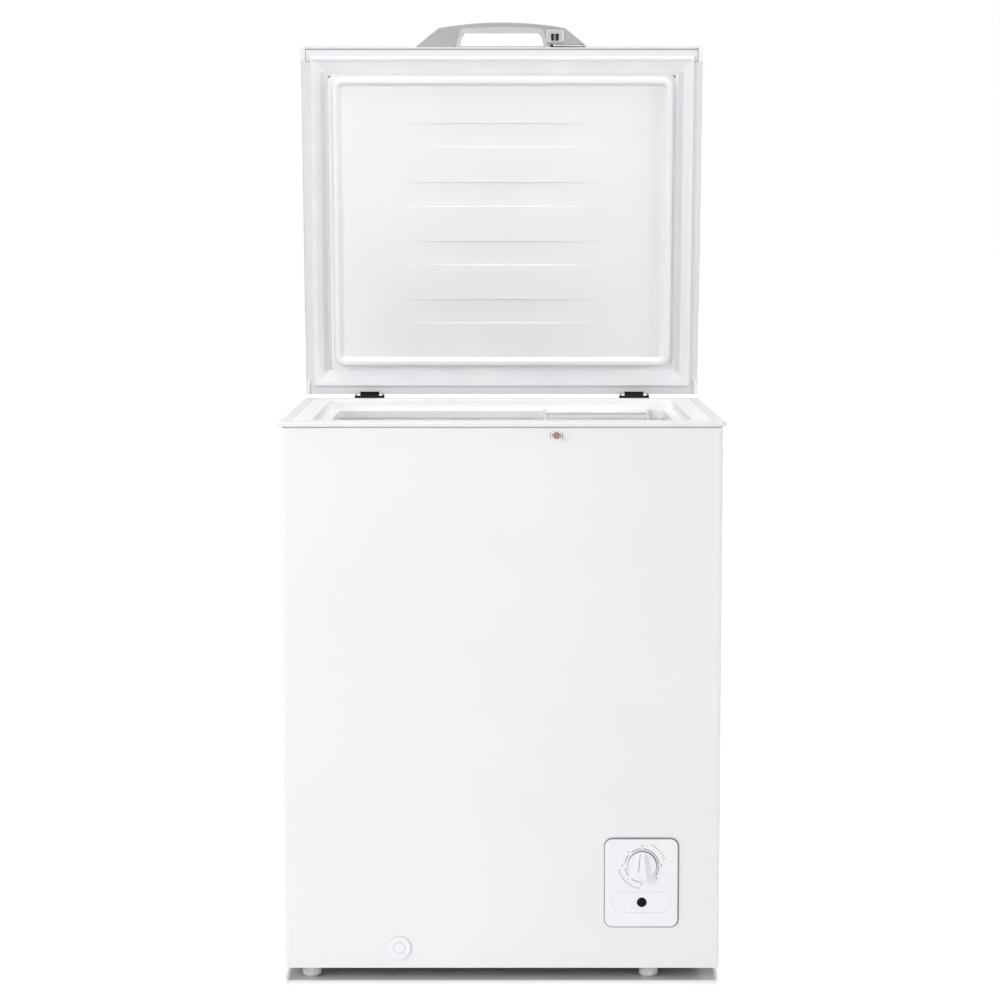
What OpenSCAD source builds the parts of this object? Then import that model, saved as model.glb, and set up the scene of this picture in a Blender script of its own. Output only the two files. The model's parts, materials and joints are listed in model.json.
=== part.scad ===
// Small chest freezer with a foamed cabinet, a sprung lift-up lid and a hanging wire basket.
// Units are millimetres. Front is -Y, +X is to the right of someone facing the front, floor at z = 0.
// The lid stands open at rest. Lid parts are written where they lie with the lid closed.

/* [Cabinet] */
// Width of the steel cabinet shell
cab_w = 623; // [600:1:650]
// Depth of the steel cabinet shell
cab_d = 541; // [520:1:580]
// Height of the shell from its underside to the rim
cab_h = 777.5; // [740:0.5:800]
// Height of the shell's underside above the floor
floor_gap = 18; // [16:0.5:24]
// Thickness of the painted sheet steel
sheet_t = 0.6; // [0.5:0.1:1]
// Outside radius of the shell's upright corners
cab_corner_r = 6; // [4:0.5:9]
// Width of the flanges that the shell turns in across the back
back_flange_w = 14; // [10:1:20]

/* [Rim and collar] */
// Outside radius of the rim's corners
rim_r = 8; // [6:0.5:14]
// How far the rim stands out past the shell
rim_over = 4.5; // [2:0.5:6]
// Height of the rim's outer band
rim_h = 6.5; // [5:0.5:12]
// Width of the rim's outer band
band_w = 17; // [12:1:20]
// Width of the collar's flat top between the band and the throat
land_w = 28; // [24:1:34]
// Depth of the basket ledge below the rim's top
ledge_drop = 17; // [14:0.5:22]
// Width of the basket ledge
ledge_w = 14; // [12:1:18]
// Height of the collar's wall below the ledge
skirt_h = 11; // [8:1:16]
// Wall thickness of the moulded collar
collar_t = 3; // [2:0.5:4]
// Corner radius of the throat
throat_r = 14; // [10:1:20]

/* [Inner tank] */
// Thickness of the embossed aluminium tank
tank_t = 0.8; // [0.5:0.1:1.2]
// Height of the tank's floor above the shell's underside
tank_floor_h = 70; // [60:1:90]
// Width of the step over the machine compartment
step_w = 196; // [180:1:215]
// Height of the step above the tank's floor
step_h = 180; // [170:1:210]

/* [Machine compartment] */
// Foam between the tank's step and the compartment
step_foam = 50; // [40:1:55]
// Thickness of the compartment's sheet lining
lining_t = 1; // [0.8:0.1:1.5]
// Margin of the rear opening round the compartment
vent_margin = 12; // [10:1:16]
// Thickness of the rear grille
grille_t = 2; // [1.5:0.5:3]
// Radius of the compressor's shell
comp_r = 62; // [52:1:66]
// Height of the compressor's shell
comp_h = 148; // [130:1:155]

/* [Lid] */
// How far the rim shows past the lid at each side
lid_side = 2; // [0:0.5:4]
// Thickness of the lid
lid_t = 40; // [35:1:50]
// Space between the rim and the closed lid, filled by the gasket
lid_gap = 8; // [7:0.5:10]
// Radius of the lid's upper edges
lid_edge_r = 6; // [3:0.5:8]
// How far the lid stands open at rest, in degrees from closed
lid_open = 83; // [60:1:86]
// Width of the steel border round the gasket
border_w = 13.6; // [10:0.2:16]
// Width of the magnetic gasket
gasket_w = 27; // [24:0.5:30]
// Running gap under the gasket when the lid is closed
gasket_gap = 0.4; // [0.3:0.1:0.8]
// How far the liner's ridge hangs below the lid's underside
ridge_drop = 15; // [12:0.5:16]
// How much further forward the ridge reaches at the lid's front than at its other sides
ridge_front = 2; // [0:0.5:2]
// Width of the flat on the liner's ridge
ridge_w = 7; // [5:0.5:10]
// Width of the slope inside the ridge
ridge_slope_w = 6; // [4:0.5:8]
// Height of the liner's field above the ridge's crest
field_rise = 8; // [5:0.5:10]
// Number of shallow grooves across the liner
groove_count = 4; // [2:1:5]
// Distance between the grooves
groove_pitch = 93; // [80:1:95]
// Length of each groove
groove_len = 330; // [250:5:380]
// Width of each groove
groove_w = 40; // [30:1:50]
// Depth of each groove at its middle
groove_depth = 2.5; // [1:0.5:3]

/* [Corner caps] */
// Width of a lid corner cap
cap_w = 7; // [5:0.5:9]
// Length of a lid corner cap
cap_len = 22; // [16:1:28]
// How far a corner cap stands proud
cap_proud = 0.8; // [0.5:0.1:1.2]

/* [Handle and lock] */
// Length of the handle along the lid
handle_len = 269; // [240:1:290]
// Length of the handle between its shoulders
shoulder_len = 198; // [180:1:210]
// Reach of the shoulders from the lid
shoulder_reach = 28.5; // [26:0.5:35]
// Reach of the handle's middle from the lid
handle_reach = 37; // [34:0.5:46]
// Thickness of the handle, up and down
handle_h = 26; // [22:1:28]
// Distance from the lid's underside to the handle
handle_lift = 8; // [6:1:10]
// Length of the finger opening at the lid
grip_len = 133; // [120:1:136]
// Length of the finger opening at the bar
grip_top_len = 121; // [110:1:126]
// Depth of the finger opening
grip_depth = 21.5; // [18:0.5:26]
// Distance of the lock from the lid's middle
lock_x = 83; // [80:1:86]
// Radius of the lock's cylinder
lock_r = 6; // [5:0.5:6.5]
// Turn of the key, in degrees
lock_turn = 90; // [80:1:95]
// Depth of the keeper stud below the rim's top
keeper_drop = 19; // [17:0.5:22]

/* [Hinges] */
// Distance of each hinge's middle from the shell's side
hinge_side = 99.5; // [80:0.5:120]
// Width of each hinge over its ears
hinge_w = 44; // [42:1:52]
// Distance of the hinge pins behind the rim
hinge_back = 3.5; // [3:0.1:4]
// Height of the hinge pins above the rim
hinge_lift = 1; // [0.5:0.1:1.5]
// Radius of the hinge pin
pin_r = 2.5; // [2:0.1:3]
// Running clearance of the hinge pin, on the radius
pin_clear = 0.05; // [0.02:0.01:0.08]
// Least radius of the leaf's cam
cam_r = 4.4; // [4.2:0.1:4.8]
// Plunger travel from open to closed
cam_lift = 3.2; // [2:0.1:3.4]
// Height of the hinge's spring channel
channel_h = 108; // [90:1:130]
// Depth of the hinge's spring channel
channel_d = 13.5; // [13:0.5:15]
// Thickness of the hinge's steel
hinge_t = 1.5; // [1.2:0.1:2]
// Radius of the balance spring's coil, to the wire's middle
spring_r = 4.6; // [4.4:0.1:4.8]
// Radius of the balance spring's wire
wire_r = 0.9; // [0.7:0.1:1]
// Turns of the balance spring
spring_turns = 10; // [7:1:12]

/* [Basket] */
// Width of the basket between the middles of its hangers
basket_w = 163.5; // [150:0.5:175]
// Distance of the basket from the side of the collar's skirt
basket_side = 26; // [20:1:40]
// Depth of the basket's mesh
basket_h = 175; // [150:5:190]
// Height of the hangers between the mesh and the ledge
hanger_h = 24; // [20:1:40]
// Radius of the basket's frame wire
frame_wire_r = 2.2; // [1.8:0.1:2.5]
// Radius of the basket's mesh wire
mesh_wire_r = 1.3; // [1:0.1:1.6]
// Upright wires on each long side
long_wires = 16; // [12:1:20]
// Upright wires on each short side
short_wires = 6; // [4:1:8]
// Gap between the basket and the throat's skirt at front and back
basket_gap = 5; // [4:0.5:8]

/* [Controls] */
// Distance of the panel's middle from the shell's right side
panel_side = 111.8; // [100:0.1:125]
// Height of the control panel's middle above the floor
panel_z = 141; // [130:0.5:150]
// Width of the control panel
panel_w = 110; // [100:1:116]
// Height of the control panel
panel_h = 132; // [124:1:140]
// Corner radius of the control panel
panel_r = 14; // [10:1:18]
// How far the control panel stands proud of the shell
panel_proud = 1.2; // [0.8:0.1:2]
// Height of the knob above the panel's middle
knob_rise = 26.5; // [24:0.5:30]
// Radius of the thermostat knob
knob_r = 20; // [16:0.5:21]
// Thickness of the knob's disc
knob_t = 5; // [4:0.5:7]
// Height of the knob's finger grip
grip_h = 9; // [7:0.5:12]
// Radius of the knob's stem
stem_r = 3; // [2.5:0.1:3.5]
// Depth of the indicator lens below the panel's middle
lens_drop = 27; // [24:0.5:30]
// Radius of the indicator lens
lens_r = 7; // [6:0.5:8]

/* [Drain] */
// Distance of the drain from the middle
drain_x = -147; // [-170:1:-120]
// Height of the drain outlet above the floor
drain_z = 48; // [44:1:54]
// Inside radius of the drain tube
drain_r = 8; // [7:0.5:9]
// Wall of the drain tube
drain_wall = 2; // [1.5:0.5:3]
// Radius of the outlet cap
drain_cap_r = 16; // [14:0.5:18]
// Distance from the tank's front wall to the drain hole
drain_inset = 30; // [25:1:45]

/* [Feet] */
// Distance of the left foot from the shell's side
foot_left_side = 37.5; // [30:0.5:50]
// Distance of the right foot from the shell's side
foot_right_side = 100.5; // [80:0.5:120]
// Distance of the feet from the shell's front and back
foot_inset = 25; // [20:1:35]
// Radius of the feet at the floor
foot_r = 13.5; // [11:0.5:15]

/* [Hidden] */
$fn = 48;
eps = 0.01;
// Clearance between parts that slide or are lifted out
slide_clear = 0.3;

// Rim, from the shell
rim_w = cab_w + 2 * rim_over;
rim_d = cab_d + 2 * rim_over;
shell_top = floor_gap + cab_h;
rim_top = shell_top + rim_h;
shell_front = rim_over;
shell_back = rim_over + cab_d;
mid_y = rim_d / 2;
band_r = 2;
throat_inset = band_w + land_w;
throat_w = rim_w - 2 * throat_inset;
throat_d = rim_d - 2 * throat_inset;
skirt_w = throat_w - 2 * ledge_w;
skirt_d = throat_d - 2 * ledge_w;
ledge_z = rim_top - ledge_drop;

// Tank, hung outside the collar's skirt
tank_w = skirt_w + 2 * collar_t;
tank_d = skirt_d + 2 * collar_t;
tank_r = throat_r + collar_t;
tank_top = ledge_z - collar_t;
tank_z = floor_gap + tank_floor_h;
step_x = tank_w / 2 - step_w;
step_z = tank_z + step_h;
tank_front = mid_y - tank_d / 2;

// Machine compartment under the step
comp_x0 = step_x + step_foam;
comp_z1 = step_z - step_foam;
inner_w = cab_w - 2 * sheet_t;
inner_front = shell_front + sheet_t;
inner_back = shell_back - sheet_t;
pan_z = floor_gap + lining_t;
rib_count = 4;
rib_len = 430;
rib_z = 330;
rib_pitch = 95;
vent_x0 = comp_x0 + vent_margin;
vent_x1 = cab_w / 2 - back_flange_w - vent_margin;
vent_z0 = pan_z + vent_margin;
vent_z1 = comp_z1 - vent_margin;
vent_screw_inset = 5;
grille_over = vent_margin - 2;
grille_w = vent_x1 - vent_x0 + 2 * grille_over;
grille_h = vent_z1 - vent_z0 + 2 * grille_over;
grille_x = (vent_x0 + vent_x1) / 2;
grille_z = (vent_z0 + vent_z1) / 2;
cord_r = 8;
cord_x = grille_x - grille_w / 2 + 26;
cord_z = grille_z - grille_h / 2 + 22;
boss_r = 9;
boss_h = 12;
foot_stem_r = 4;
foot_left_x = cab_w / 2 - foot_left_side;
foot_right_x = cab_w / 2 - foot_right_side;

// Lid, closed
flange_z = rim_top + lid_gap;
lid_top = flange_z + lid_t;
lid_w = rim_w - 2 * lid_side;
lid_d = rim_d;
lid_mid_y = lid_d / 2;
liner_t = 1.5;
liner_edge = border_w + gasket_w - 10;
ridge_inset = border_w + gasket_w + 8;
ridge_w_out = lid_w - 2 * ridge_inset;
ridge_d_out = lid_d - 2 * ridge_inset + ridge_front;
ridge_mid_y = lid_mid_y - ridge_front / 2;
ridge_r = 16;
ridge_z = flange_z - ridge_drop;
field_z = ridge_z + field_rise;
field_t = groove_depth + 2;
field_u = -ridge_w - ridge_slope_w;

// Hinge axis
hinge_x = cab_w / 2 - hinge_side;
hinge_y = rim_d + hinge_back;
hinge_z = rim_top + hinge_lift;
leaf_w = hinge_w - 14;
ear_r = pin_r + 3;
channel_y = shell_back + hinge_t;
channel_mid = (channel_y + shell_back + channel_d) / 2;
channel_z = hinge_z - channel_h;
cam_w = 20;
cam_rate = cam_lift / (lid_open * PI / 180);
cam_gap = 0.15;
plunger_top = hinge_z - cam_r - cam_gap;
plunger_h = 8;
plunger_d = 11;
guide_r = 2.8;
notch_w = hinge_w + 4;
notch_d = band_w / 3;

// Lock
lock_y = -shoulder_reach;
handle_z = flange_z + handle_lift;
lock_z = handle_z + 11;
hook_t = 2;
hook_y = -1.4 - hook_t;
hook_w = 8;
keeper_z = rim_top - keeper_drop;
keeper_shift = 6.5;
keeper_x = lock_x - keeper_shift;
hook_reach = norm([lock_z - keeper_z, keeper_shift]);
hook_rest = 90 - lock_turn + atan(keeper_shift / (lock_z - keeper_z));
stud_r = 2;
case_w = 28;
case_y0 = lock_y + 1.5;
case_y1 = -10;
case_h = 22;
guard_w = 26;
guard_h = 14;
guard_y1 = hook_y - 1;
handle_screw_x = handle_len / 2 - 22;
handle_screw_z = handle_z + handle_h - 6;

// Basket
basket_x = skirt_w / 2 - basket_side - basket_w / 2;
basket_d = skirt_d - 2 * basket_gap;
wall_inset = 12;
lap = 1.6;
hanger_top = ledge_z + slide_clear + frame_wire_r;
mesh_top = hanger_top - hanger_h;
mesh_bottom = mesh_top - basket_h;
hook_out = basket_gap + ledge_w - 5;

// Controls
panel_x = cab_w / 2 - panel_side;
panel_face = shell_front - panel_proud;
panel_back = panel_face + 2;
panel_box = 15;
knob_z = panel_z + knob_rise;
lens_z = panel_z - lens_drop;
knob_face = panel_face - slide_clear - knob_t;
knob_front = knob_face - grip_h;
stem_len = 22;

// Drain
drain_y = tank_front + drain_inset;
drain_bend = 18;
drain_out = drain_r + drain_wall;

// Middle of the whole freezer with the lid open, front to back
back_reach = hinge_y + (lid_d + cap_proud - lid_edge_r - hinge_y) * cos(lid_open)
    + (lid_top - lid_edge_r - hinge_z) * sin(lid_open) + lid_edge_r;
centre_y = (knob_front + back_reach) / 2;

hoop_count = 6;
hoop_r = 4;
hoop_z0 = step_z + 60;
hoop_pitch = (tank_top - 70 - hoop_z0) / (hoop_count - 1);
cond_r = 2.5;
cond_runs = 7;
cond_pitch = 62;
cond_z = 150;
cond_inset = 50;
cond_bend = 20;
mount_h = 14;
comp_plate_z = pan_z + mount_h;
mount_dx = 68;
mount_dy = 62;
// Cross wires of the end walls stop just short of those of the long walls
end_cross = basket_w - 2 * (lap + 1) * mesh_wire_r - 0.1;

white = [0.93, 0.94, 0.95];
paint = [0.96, 0.96, 0.97];
grey = [0.70, 0.71, 0.73];
steel = [0.62, 0.63, 0.65];
black = [0.08, 0.08, 0.09];
copper = [0.72, 0.45, 0.32];
foam_colour = [0.93, 0.86, 0.62];
aluminium = [0.80, 0.81, 0.83];

// ---- helpers ----

// Brings the freezer's own frame to the middle of its footprint
module placed() {
    translate([0, -centre_y, 0]) children();
}

// Opens what is written for the closed lid
module on_lid() {
    placed() translate([0, hinge_y, hinge_z]) rotate([-lid_open, 0, 0])
        translate([0, -hinge_y, -hinge_z]) children();
}

// A rectangle with round corners, as squares and circles so that its arcs stay true
module rounded(w, d, r) {
    square([w - 2 * r, d], center = true);
    square([w, d - 2 * r], center = true);
    for (x = [-1, 1], y = [-1, 1]) translate([x * (w / 2 - r), y * (d / 2 - r)]) circle(r);
}

module plate(w, d, h, r) {
    linear_extrude(h) rounded(w, d, r);
}

module tub_ring(w, d, r, wall, h) {
    linear_extrude(h) difference() {
        rounded(w + 2 * wall, d + 2 * wall, r + wall);
        rounded(w, d, r);
    }
}

// Sweeps a profile round a rectangle with round corners: x is outwards from it, y is up
module swept_frame(w, d, r) {
    for (q = [0:3]) {
        sx = (q == 0 || q == 3) ? 1 : -1;
        sy = q < 2 ? 1 : -1;
        translate([sx * (w / 2 - r), sy * (d / 2 - r), 0]) rotate(90 * q)
            rotate_extrude(angle = 90) translate([r, 0]) children();
    }
    for (turn = [0, 180]) rotate(turn) {
        translate([w / 2, 0, 0]) rotate([90, 0, 0]) linear_extrude(d - 2 * r, center = true) children();
        rotate(90) translate([d / 2, 0, 0]) rotate([90, 0, 0])
            linear_extrude(w - 2 * r, center = true) children();
    }
}

// Sweeps a profile round a sharp rectangle with mitred corners; reach is the profile's width
module mitred_frame(w, d, reach) {
    for (turn = [0, 180], side = [0, 1]) rotate(turn + 90 * side) {
        half = (side == 0 ? w : d) / 2;
        len = side == 0 ? d : w;
        intersection() {
            translate([half, 0, 0]) rotate([90, 0, 0]) linear_extrude(len, center = true) children();
            translate([0, 0, -50]) linear_extrude(100) polygon([[half + 1, -len / 2 - 1],
                [half + 1, len / 2 + 1], [half - reach - 1, len / 2 - reach - 1],
                [half - reach - 1, reach + 1 - len / 2]]);
        }
    }
}

// Outline of a slab seen end on, with its two upper corners rounded
module topped(w, h, r) {
    translate([-w / 2, 0]) square([w, h - r]);
    translate([r - w / 2, 0]) square([w - 2 * r, h]);
    for (x = [-1, 1]) translate([x * (w / 2 - r), h - r]) circle(r);
}

// A slab with rounded upper edges and upright corners of radius r
module slab(w, d, h, r, edge) {
    intersection() {
        plate(w, d, h, r);
        rotate([90, 0, 0]) linear_extrude(d + 2, center = true) topped(w, h, edge);
        rotate([90, 0, 90]) linear_extrude(w + 2, center = true) topped(d, h, edge);
    }
}

function unit(v) = v / norm(v);
function heading(p, i) = unit(p[min(i + 1, len(p) - 1)] - p[max(i - 1, 0)]);
function square_to(u, t) = unit(u - (u * t) * t);
function sides_of(p, start) = [for (i = 0, u = square_to(start, heading(p, 0)); i < len(p);
    i = i + 1, u = i < len(p) ? square_to(u, heading(p, i)) : u) u];

// Rounds the inner corners of a route over the distance reach
function eased(p, reach, steps = 4) = [for (i = [0:len(p) - 1])
    if (i == 0 || i == len(p) - 1) p[i]
    else for (k = [0:steps])
        let (a = p[i] + reach * unit(p[i - 1] - p[i]), b = p[i] + reach * unit(p[i + 1] - p[i]),
            s = k / steps)
            (1 - s) * (1 - s) * a + 2 * s * (1 - s) * p[i] + s * s * b];

// A round tube or wire along a route of points
module wire(path, r, sides = 8, start = [0.1, 0.2, 1]) {
    n = len(path);
    us = sides_of(path, start);
    points = [for (i = [0:n - 1]) let (t = heading(path, i), v = cross(t, us[i]))
        for (k = [0:sides - 1]) path[i] + r * (cos(360 * k / sides) * us[i] + sin(360 * k / sides) * v)];
    walls = [for (i = [0:n - 2], k = [0:sides - 1])
        [i * sides + k, (i + 1) * sides + k, (i + 1) * sides + (k + 1) % sides, i * sides + (k + 1) % sides]];
    polyhedron(points, concat(walls, [[for (k = [0:sides - 1]) k]],
        [[for (k = [sides - 1:-1:0]) (n - 1) * sides + k]]), convexity = 6);
}

// Straight rod between two heights, widths or depths
module rod_x(x0, x1, r) { translate([x0, 0, 0]) rotate([0, 90, 0]) cylinder(h = x1 - x0, r = r); }
module rod_y(y0, y1, r) { translate([0, y0, 0]) rotate([-90, 0, 0]) cylinder(h = y1 - y0, r = r); }

module screw_head(r, h) {
    difference() {
        cylinder(h = h, r = r);
        for (a = [0, 90]) rotate(a) translate([-r * 0.55, -0.5, h * 0.5]) cube([r * 1.1, 1, h]);
    }
}

// ---- cabinet ----

// The space inside the tank, or the tank's outside when grown by its sheet
module tank_form(grow) {
    difference() {
        translate([0, mid_y, tank_z - grow])
            plate(tank_w + 2 * grow, tank_d + 2 * grow, tank_top - tank_z + grow, tank_r + grow);
        translate([step_x + grow, tank_front - 20, tank_z - grow - 1])
            cube([step_w + 40, tank_d + 40, step_h + 1]);
    }
}

module panel_cut(grow, depth) {
    translate([panel_x, shell_front - 1, panel_z]) rotate([-90, 0, 0])
        plate(panel_w - 8 + 2 * grow, panel_h - 8 + 2 * grow, depth, panel_r - 4 + grow);
}

module outer_wrapper() {
    placed() color(paint) difference() {
        translate([0, mid_y, floor_gap]) difference() {
            plate(cab_w, cab_d, cab_h, cab_corner_r);
            translate([0, 0, -1]) plate(inner_w, cab_d - 2 * sheet_t, cab_h + 2, cab_corner_r - sheet_t);
        }
        translate([back_flange_w - cab_w / 2, inner_back - 1, floor_gap - 1])
            cube([cab_w - 2 * back_flange_w, 5, cab_h + 2]);
        panel_cut(0.5, 5);
        translate([drain_x, shell_front - 1, drain_z]) rod_y(0, 5, drain_out + 0.2);
        translate([keeper_x, shell_front - 1, keeper_z]) rod_y(0, 5, stud_r + 0.2);
    }
}

module back_panel() {
    placed() color(steel) difference() {
        union() {
            translate([-inner_w / 2 + back_flange_w - 8, inner_back - sheet_t, pan_z])
                cube([inner_w - 2 * back_flange_w + 16, sheet_t, shell_top - pan_z]);
            translate([back_flange_w + 0.3 - cab_w / 2, inner_back, pan_z])
                cube([cab_w - 2 * back_flange_w - 0.6, sheet_t, shell_top - pan_z]);
            for (k = [0:rib_count - 1]) intersection() {
                translate([0, shell_back - 3, rib_z + rib_pitch * k]) rod_x(-rib_len / 2, rib_len / 2, 5);
                translate([-cab_w / 2, inner_back, 0]) cube([cab_w, 5, shell_top]);
            }
        }
        translate([vent_x0, inner_back - 5, vent_z0]) cube([vent_x1 - vent_x0, 12, vent_z1 - vent_z0]);
    }
}

// Fills the shell's plan up to the back panel, from height z
module inside_shell(z, h) {
    intersection() {
        translate([0, mid_y, z]) plate(inner_w, inner_back - inner_front, h, cab_corner_r - sheet_t);
        translate([-cab_w / 2, 0, z - 1]) cube([cab_w, inner_back - sheet_t, h + 2]);
    }
}

module base_pan() {
    lip = 14;
    placed() color(steel) difference() {
        union() {
            inside_shell(floor_gap, lining_t);
            translate([comp_x0 + lining_t + 2, inner_front, pan_z - eps])
                cube([inner_w / 2 - cab_corner_r - comp_x0 - lining_t - 4, lining_t, lip]);
            for (x = [-foot_left_x, foot_right_x])
                translate([x, shell_front + foot_inset, floor_gap])
                    cylinder(h = lining_t + boss_h, r = boss_r);
        }
        for (x = [-foot_left_x, foot_right_x])
            translate([x, shell_front + foot_inset, floor_gap - 1])
                cylinder(h = 40, r = foot_stem_r + pin_clear);
        for (k = [0:4]) translate([comp_x0 + 40 + 28 * k, shell_front + 150, floor_gap - 1])
            linear_extrude(5) rounded(10, 60, 4.9);
    }
}

module compartment_lining() {
    placed() color(steel) {
        translate([comp_x0, inner_front, pan_z])
            cube([lining_t, inner_back - sheet_t - inner_front, comp_z1 - pan_z - lining_t]);
        difference() {
            intersection() {
                inside_shell(comp_z1 - lining_t, lining_t);
                translate([comp_x0, 0, 0]) cube([cab_w, rim_d, comp_z1]);
            }
            for (p = line_holes()) translate([p[0], p[1], comp_z1 - 5]) cylinder(h = 10, r = 5.5);
        }
    }
}

// Where the suction and discharge lines pass up through the compartment's ceiling
function line_holes() = [[comp_mid_x() - 48, comp_mid_y() - 20], [comp_mid_x() + 40, comp_mid_y() - 52]];
function comp_mid_x() = (comp_x0 + inner_w / 2) / 2;
function comp_mid_y() = inner_back - comp_r - 42;

module rear_grille() {
    slots = 12;
    slot_h = 5.5;
    slot_z0 = 36;
    slot_pitch = (grille_h - slot_z0 - 16) / (slots - 1);
    placed() color(black) translate([grille_x, shell_back + grille_t, grille_z]) rotate([90, 0, 0])
        difference() {
        plate(grille_w, grille_h, grille_t, 5);
        for (k = [0:slots - 1], side = [-1, 1])
            translate([side * grille_w / 4.3, slot_z0 - grille_h / 2 + k * slot_pitch, -1])
                plate(grille_w / 2.5, slot_h, 10, slot_h / 2 - 0.1);
        translate([cord_x - grille_x, cord_z - grille_z, -1]) cylinder(h = 10, r = cord_r + 0.2);
        for (sx = [-1, 1], sy = [-1, 1])
            translate([sx * (grille_w / 2 - vent_screw_inset), sy * (grille_h / 2 - vent_screw_inset), -1])
                cylinder(h = 10, r = 2.2);
    }
}

module drain_route(r) {
    translate([drain_x, drain_y, drain_z + drain_bend]) cylinder(h = tank_z - drain_z - drain_bend, r = r);
    translate([drain_x, drain_y - drain_bend, drain_z + drain_bend]) rotate([90, 0, 90])
        rotate([0, 0, -90]) rotate_extrude(angle = 90) translate([drain_bend, 0]) circle(r);
    translate([drain_x, shell_front, drain_z]) rod_y(0, drain_y - drain_bend - shell_front, r);
}

module drain_tube() {
    placed() color(grey) difference() {
        intersection() {
            drain_route(drain_out);
            translate([drain_x - drain_y, shell_front, 0]) cube([2 * drain_y, 2 * drain_y, tank_z - tank_t]);
        }
        drain_route(drain_r);
    }
}

// Hoops of evaporator tube wound round the tank and joined at the back
function hoop_path(z) = let (a = tank_w / 2 + tank_t + hoop_r + 0.4, b = tank_d / 2 + tank_t + hoop_r + 0.4)
    [[-20, mid_y + b, z], [-a, mid_y + b, z], [-a, mid_y - b, z], [a, mid_y - b, z], [a, mid_y + b, z],
        [20, mid_y + b, z]];

function evaporator_path() = [for (k = [0:hoop_count - 1]) each hoop_path(hoop_z0 + k * hoop_pitch)];

module evaporator_coil() {
    placed() color(copper) wire(eased(evaporator_path(), tank_r + 8, 6), hoop_r, 8);
}

module evaporator_channels() {
    g = hoop_r + 0.6;
    for (k = [0:hoop_count - 1]) translate([0, mid_y, hoop_z0 + k * hoop_pitch - g])
        tub_ring(tank_w, tank_d, tank_r, tank_t + 2 * g, 2 * g);
    translate([-40, mid_y + tank_d / 2, hoop_z0 - g])
        cube([80, tank_t + 2 * g, (hoop_count - 1) * hoop_pitch + 2 * g]);
}

// Condenser tube taped to the inside of the shell's left side
function cond_path() = let (x = cond_r + 0.2 - inner_w / 2,
    ends = [inner_front + cond_inset, inner_back - cond_inset])
    [for (k = [0:cond_runs - 1], e = [0, 1]) [x, ends[(k + e) % 2], cond_z + k * cond_pitch]];

module condenser_coil() {
    placed() color(copper) wire(eased(cond_path(), cond_bend, 3), cond_r, 8);
}

module condenser_channels() {
    g = cond_r + 0.6;
    front = inner_front + cond_inset;
    back = inner_back - cond_inset;
    for (k = [0:cond_runs - 1]) translate([-inner_w / 2 - 1, front - g, cond_z + k * cond_pitch - g])
        cube([2 * g + 1, back - front + 2 * g, 2 * g]);
    for (k = [0:cond_runs - 2]) translate([-inner_w / 2 - 1, k % 2 == 0 ? back - cond_bend : front - g,
        cond_z + k * cond_pitch]) cube([2 * g + 1, cond_bend + g, cond_pitch]);
}

module cabinet_foam() {
    placed() color(foam_colour) difference() {
        union() {
            inside_shell(pan_z, shell_top - pan_z);
            translate([0, mid_y, shell_top - 1])
                plate(rim_w - 2 * band_w, rim_d - 2 * band_w, rim_h + 1 - collar_t, band_r);
        }
        tank_form(tank_t);
        translate([0, mid_y, tank_top - 1])
            plate(tank_w + 2 * tank_t, tank_d + 2 * tank_t, 60, tank_r + tank_t);
        translate([0, mid_y, ledge_z - collar_t]) plate(throat_w + 2 * collar_t, throat_d + 2 * collar_t, 60,
            throat_r + collar_t);
        translate([comp_x0, 0, 0]) cube([cab_w / 2, rim_d, comp_z1]);
        drain_hole_cut();
        evaporator_channels();
        condenser_channels();
        translate([-foot_left_x, shell_front + foot_inset, 0])
            cylinder(h = pan_z + boss_h + 4, r = boss_r + 0.3);
        translate([keeper_x, 0, keeper_z]) rod_y(0, shell_front + 16, stud_r + 0.5);
    }
}

module drain_hole_cut() {
    g = drain_out + 0.3;
    translate([drain_x - g, 0, drain_z - g]) cube([2 * g, drain_y + g, 2 * g]);
    translate([drain_x - g, drain_y - drain_bend - g, drain_z - g]) cube([2 * g, drain_bend + 2 * g, tank_z]);
}

module inner_tank() {
    placed() color(aluminium) difference() {
        tank_form(tank_t);
        tank_form(0);
        translate([0, mid_y, tank_top - 1]) plate(tank_w, tank_d, 10, tank_r);
        translate([drain_x, drain_y, tank_z - 5]) cylinder(h = 10, r = drain_r);
    }
}

// Wall of the throat with its rounded upper edge, from the throat outwards
module collar_profile() {
    edge = 2;
    translate([0, -ledge_drop - collar_t]) square([collar_t, ledge_drop + collar_t - edge]);
    translate([edge, -collar_t]) square([8, collar_t]);
    intersection() {
        translate([edge, -edge]) circle(edge);
        translate([0, -edge]) square(edge);
    }
}

module top_collar() {
    placed() color(white) translate([0, mid_y, rim_top]) {
        swept_frame(throat_w, throat_d, throat_r) collar_profile();
        translate([0, 0, -collar_t]) difference() {
            plate(rim_w - 2 * band_w, rim_d - 2 * band_w, collar_t, band_r);
            translate([0, 0, -1]) plate(throat_w + 12, throat_d + 12, 10, throat_r + 6);
        }
        translate([0, 0, -ledge_drop - collar_t]) difference() {
            plate(throat_w + 1, throat_d + 1, collar_t, throat_r + 0.5);
            translate([0, 0, -1]) plate(skirt_w, skirt_d, 10, throat_r);
        }
        translate([0, 0, -ledge_drop - skirt_h])
            tub_ring(skirt_w, skirt_d, throat_r, collar_t - eps, skirt_h);
    }
}

module rim_band() {
    placed() color(white) difference() {
        translate([0, mid_y, shell_top]) slab(rim_w, rim_d, rim_h, rim_r, 2.5);
        translate([0, mid_y, shell_top - 1]) plate(rim_w - 2 * band_w, rim_d - 2 * band_w, rim_h + 5, band_r);
        for (side = [-1, 1]) translate([side * hinge_x - notch_w / 2, rim_d - notch_d, shell_top - 1])
            cube([notch_w, 20, 40]);
    }
}

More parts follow.
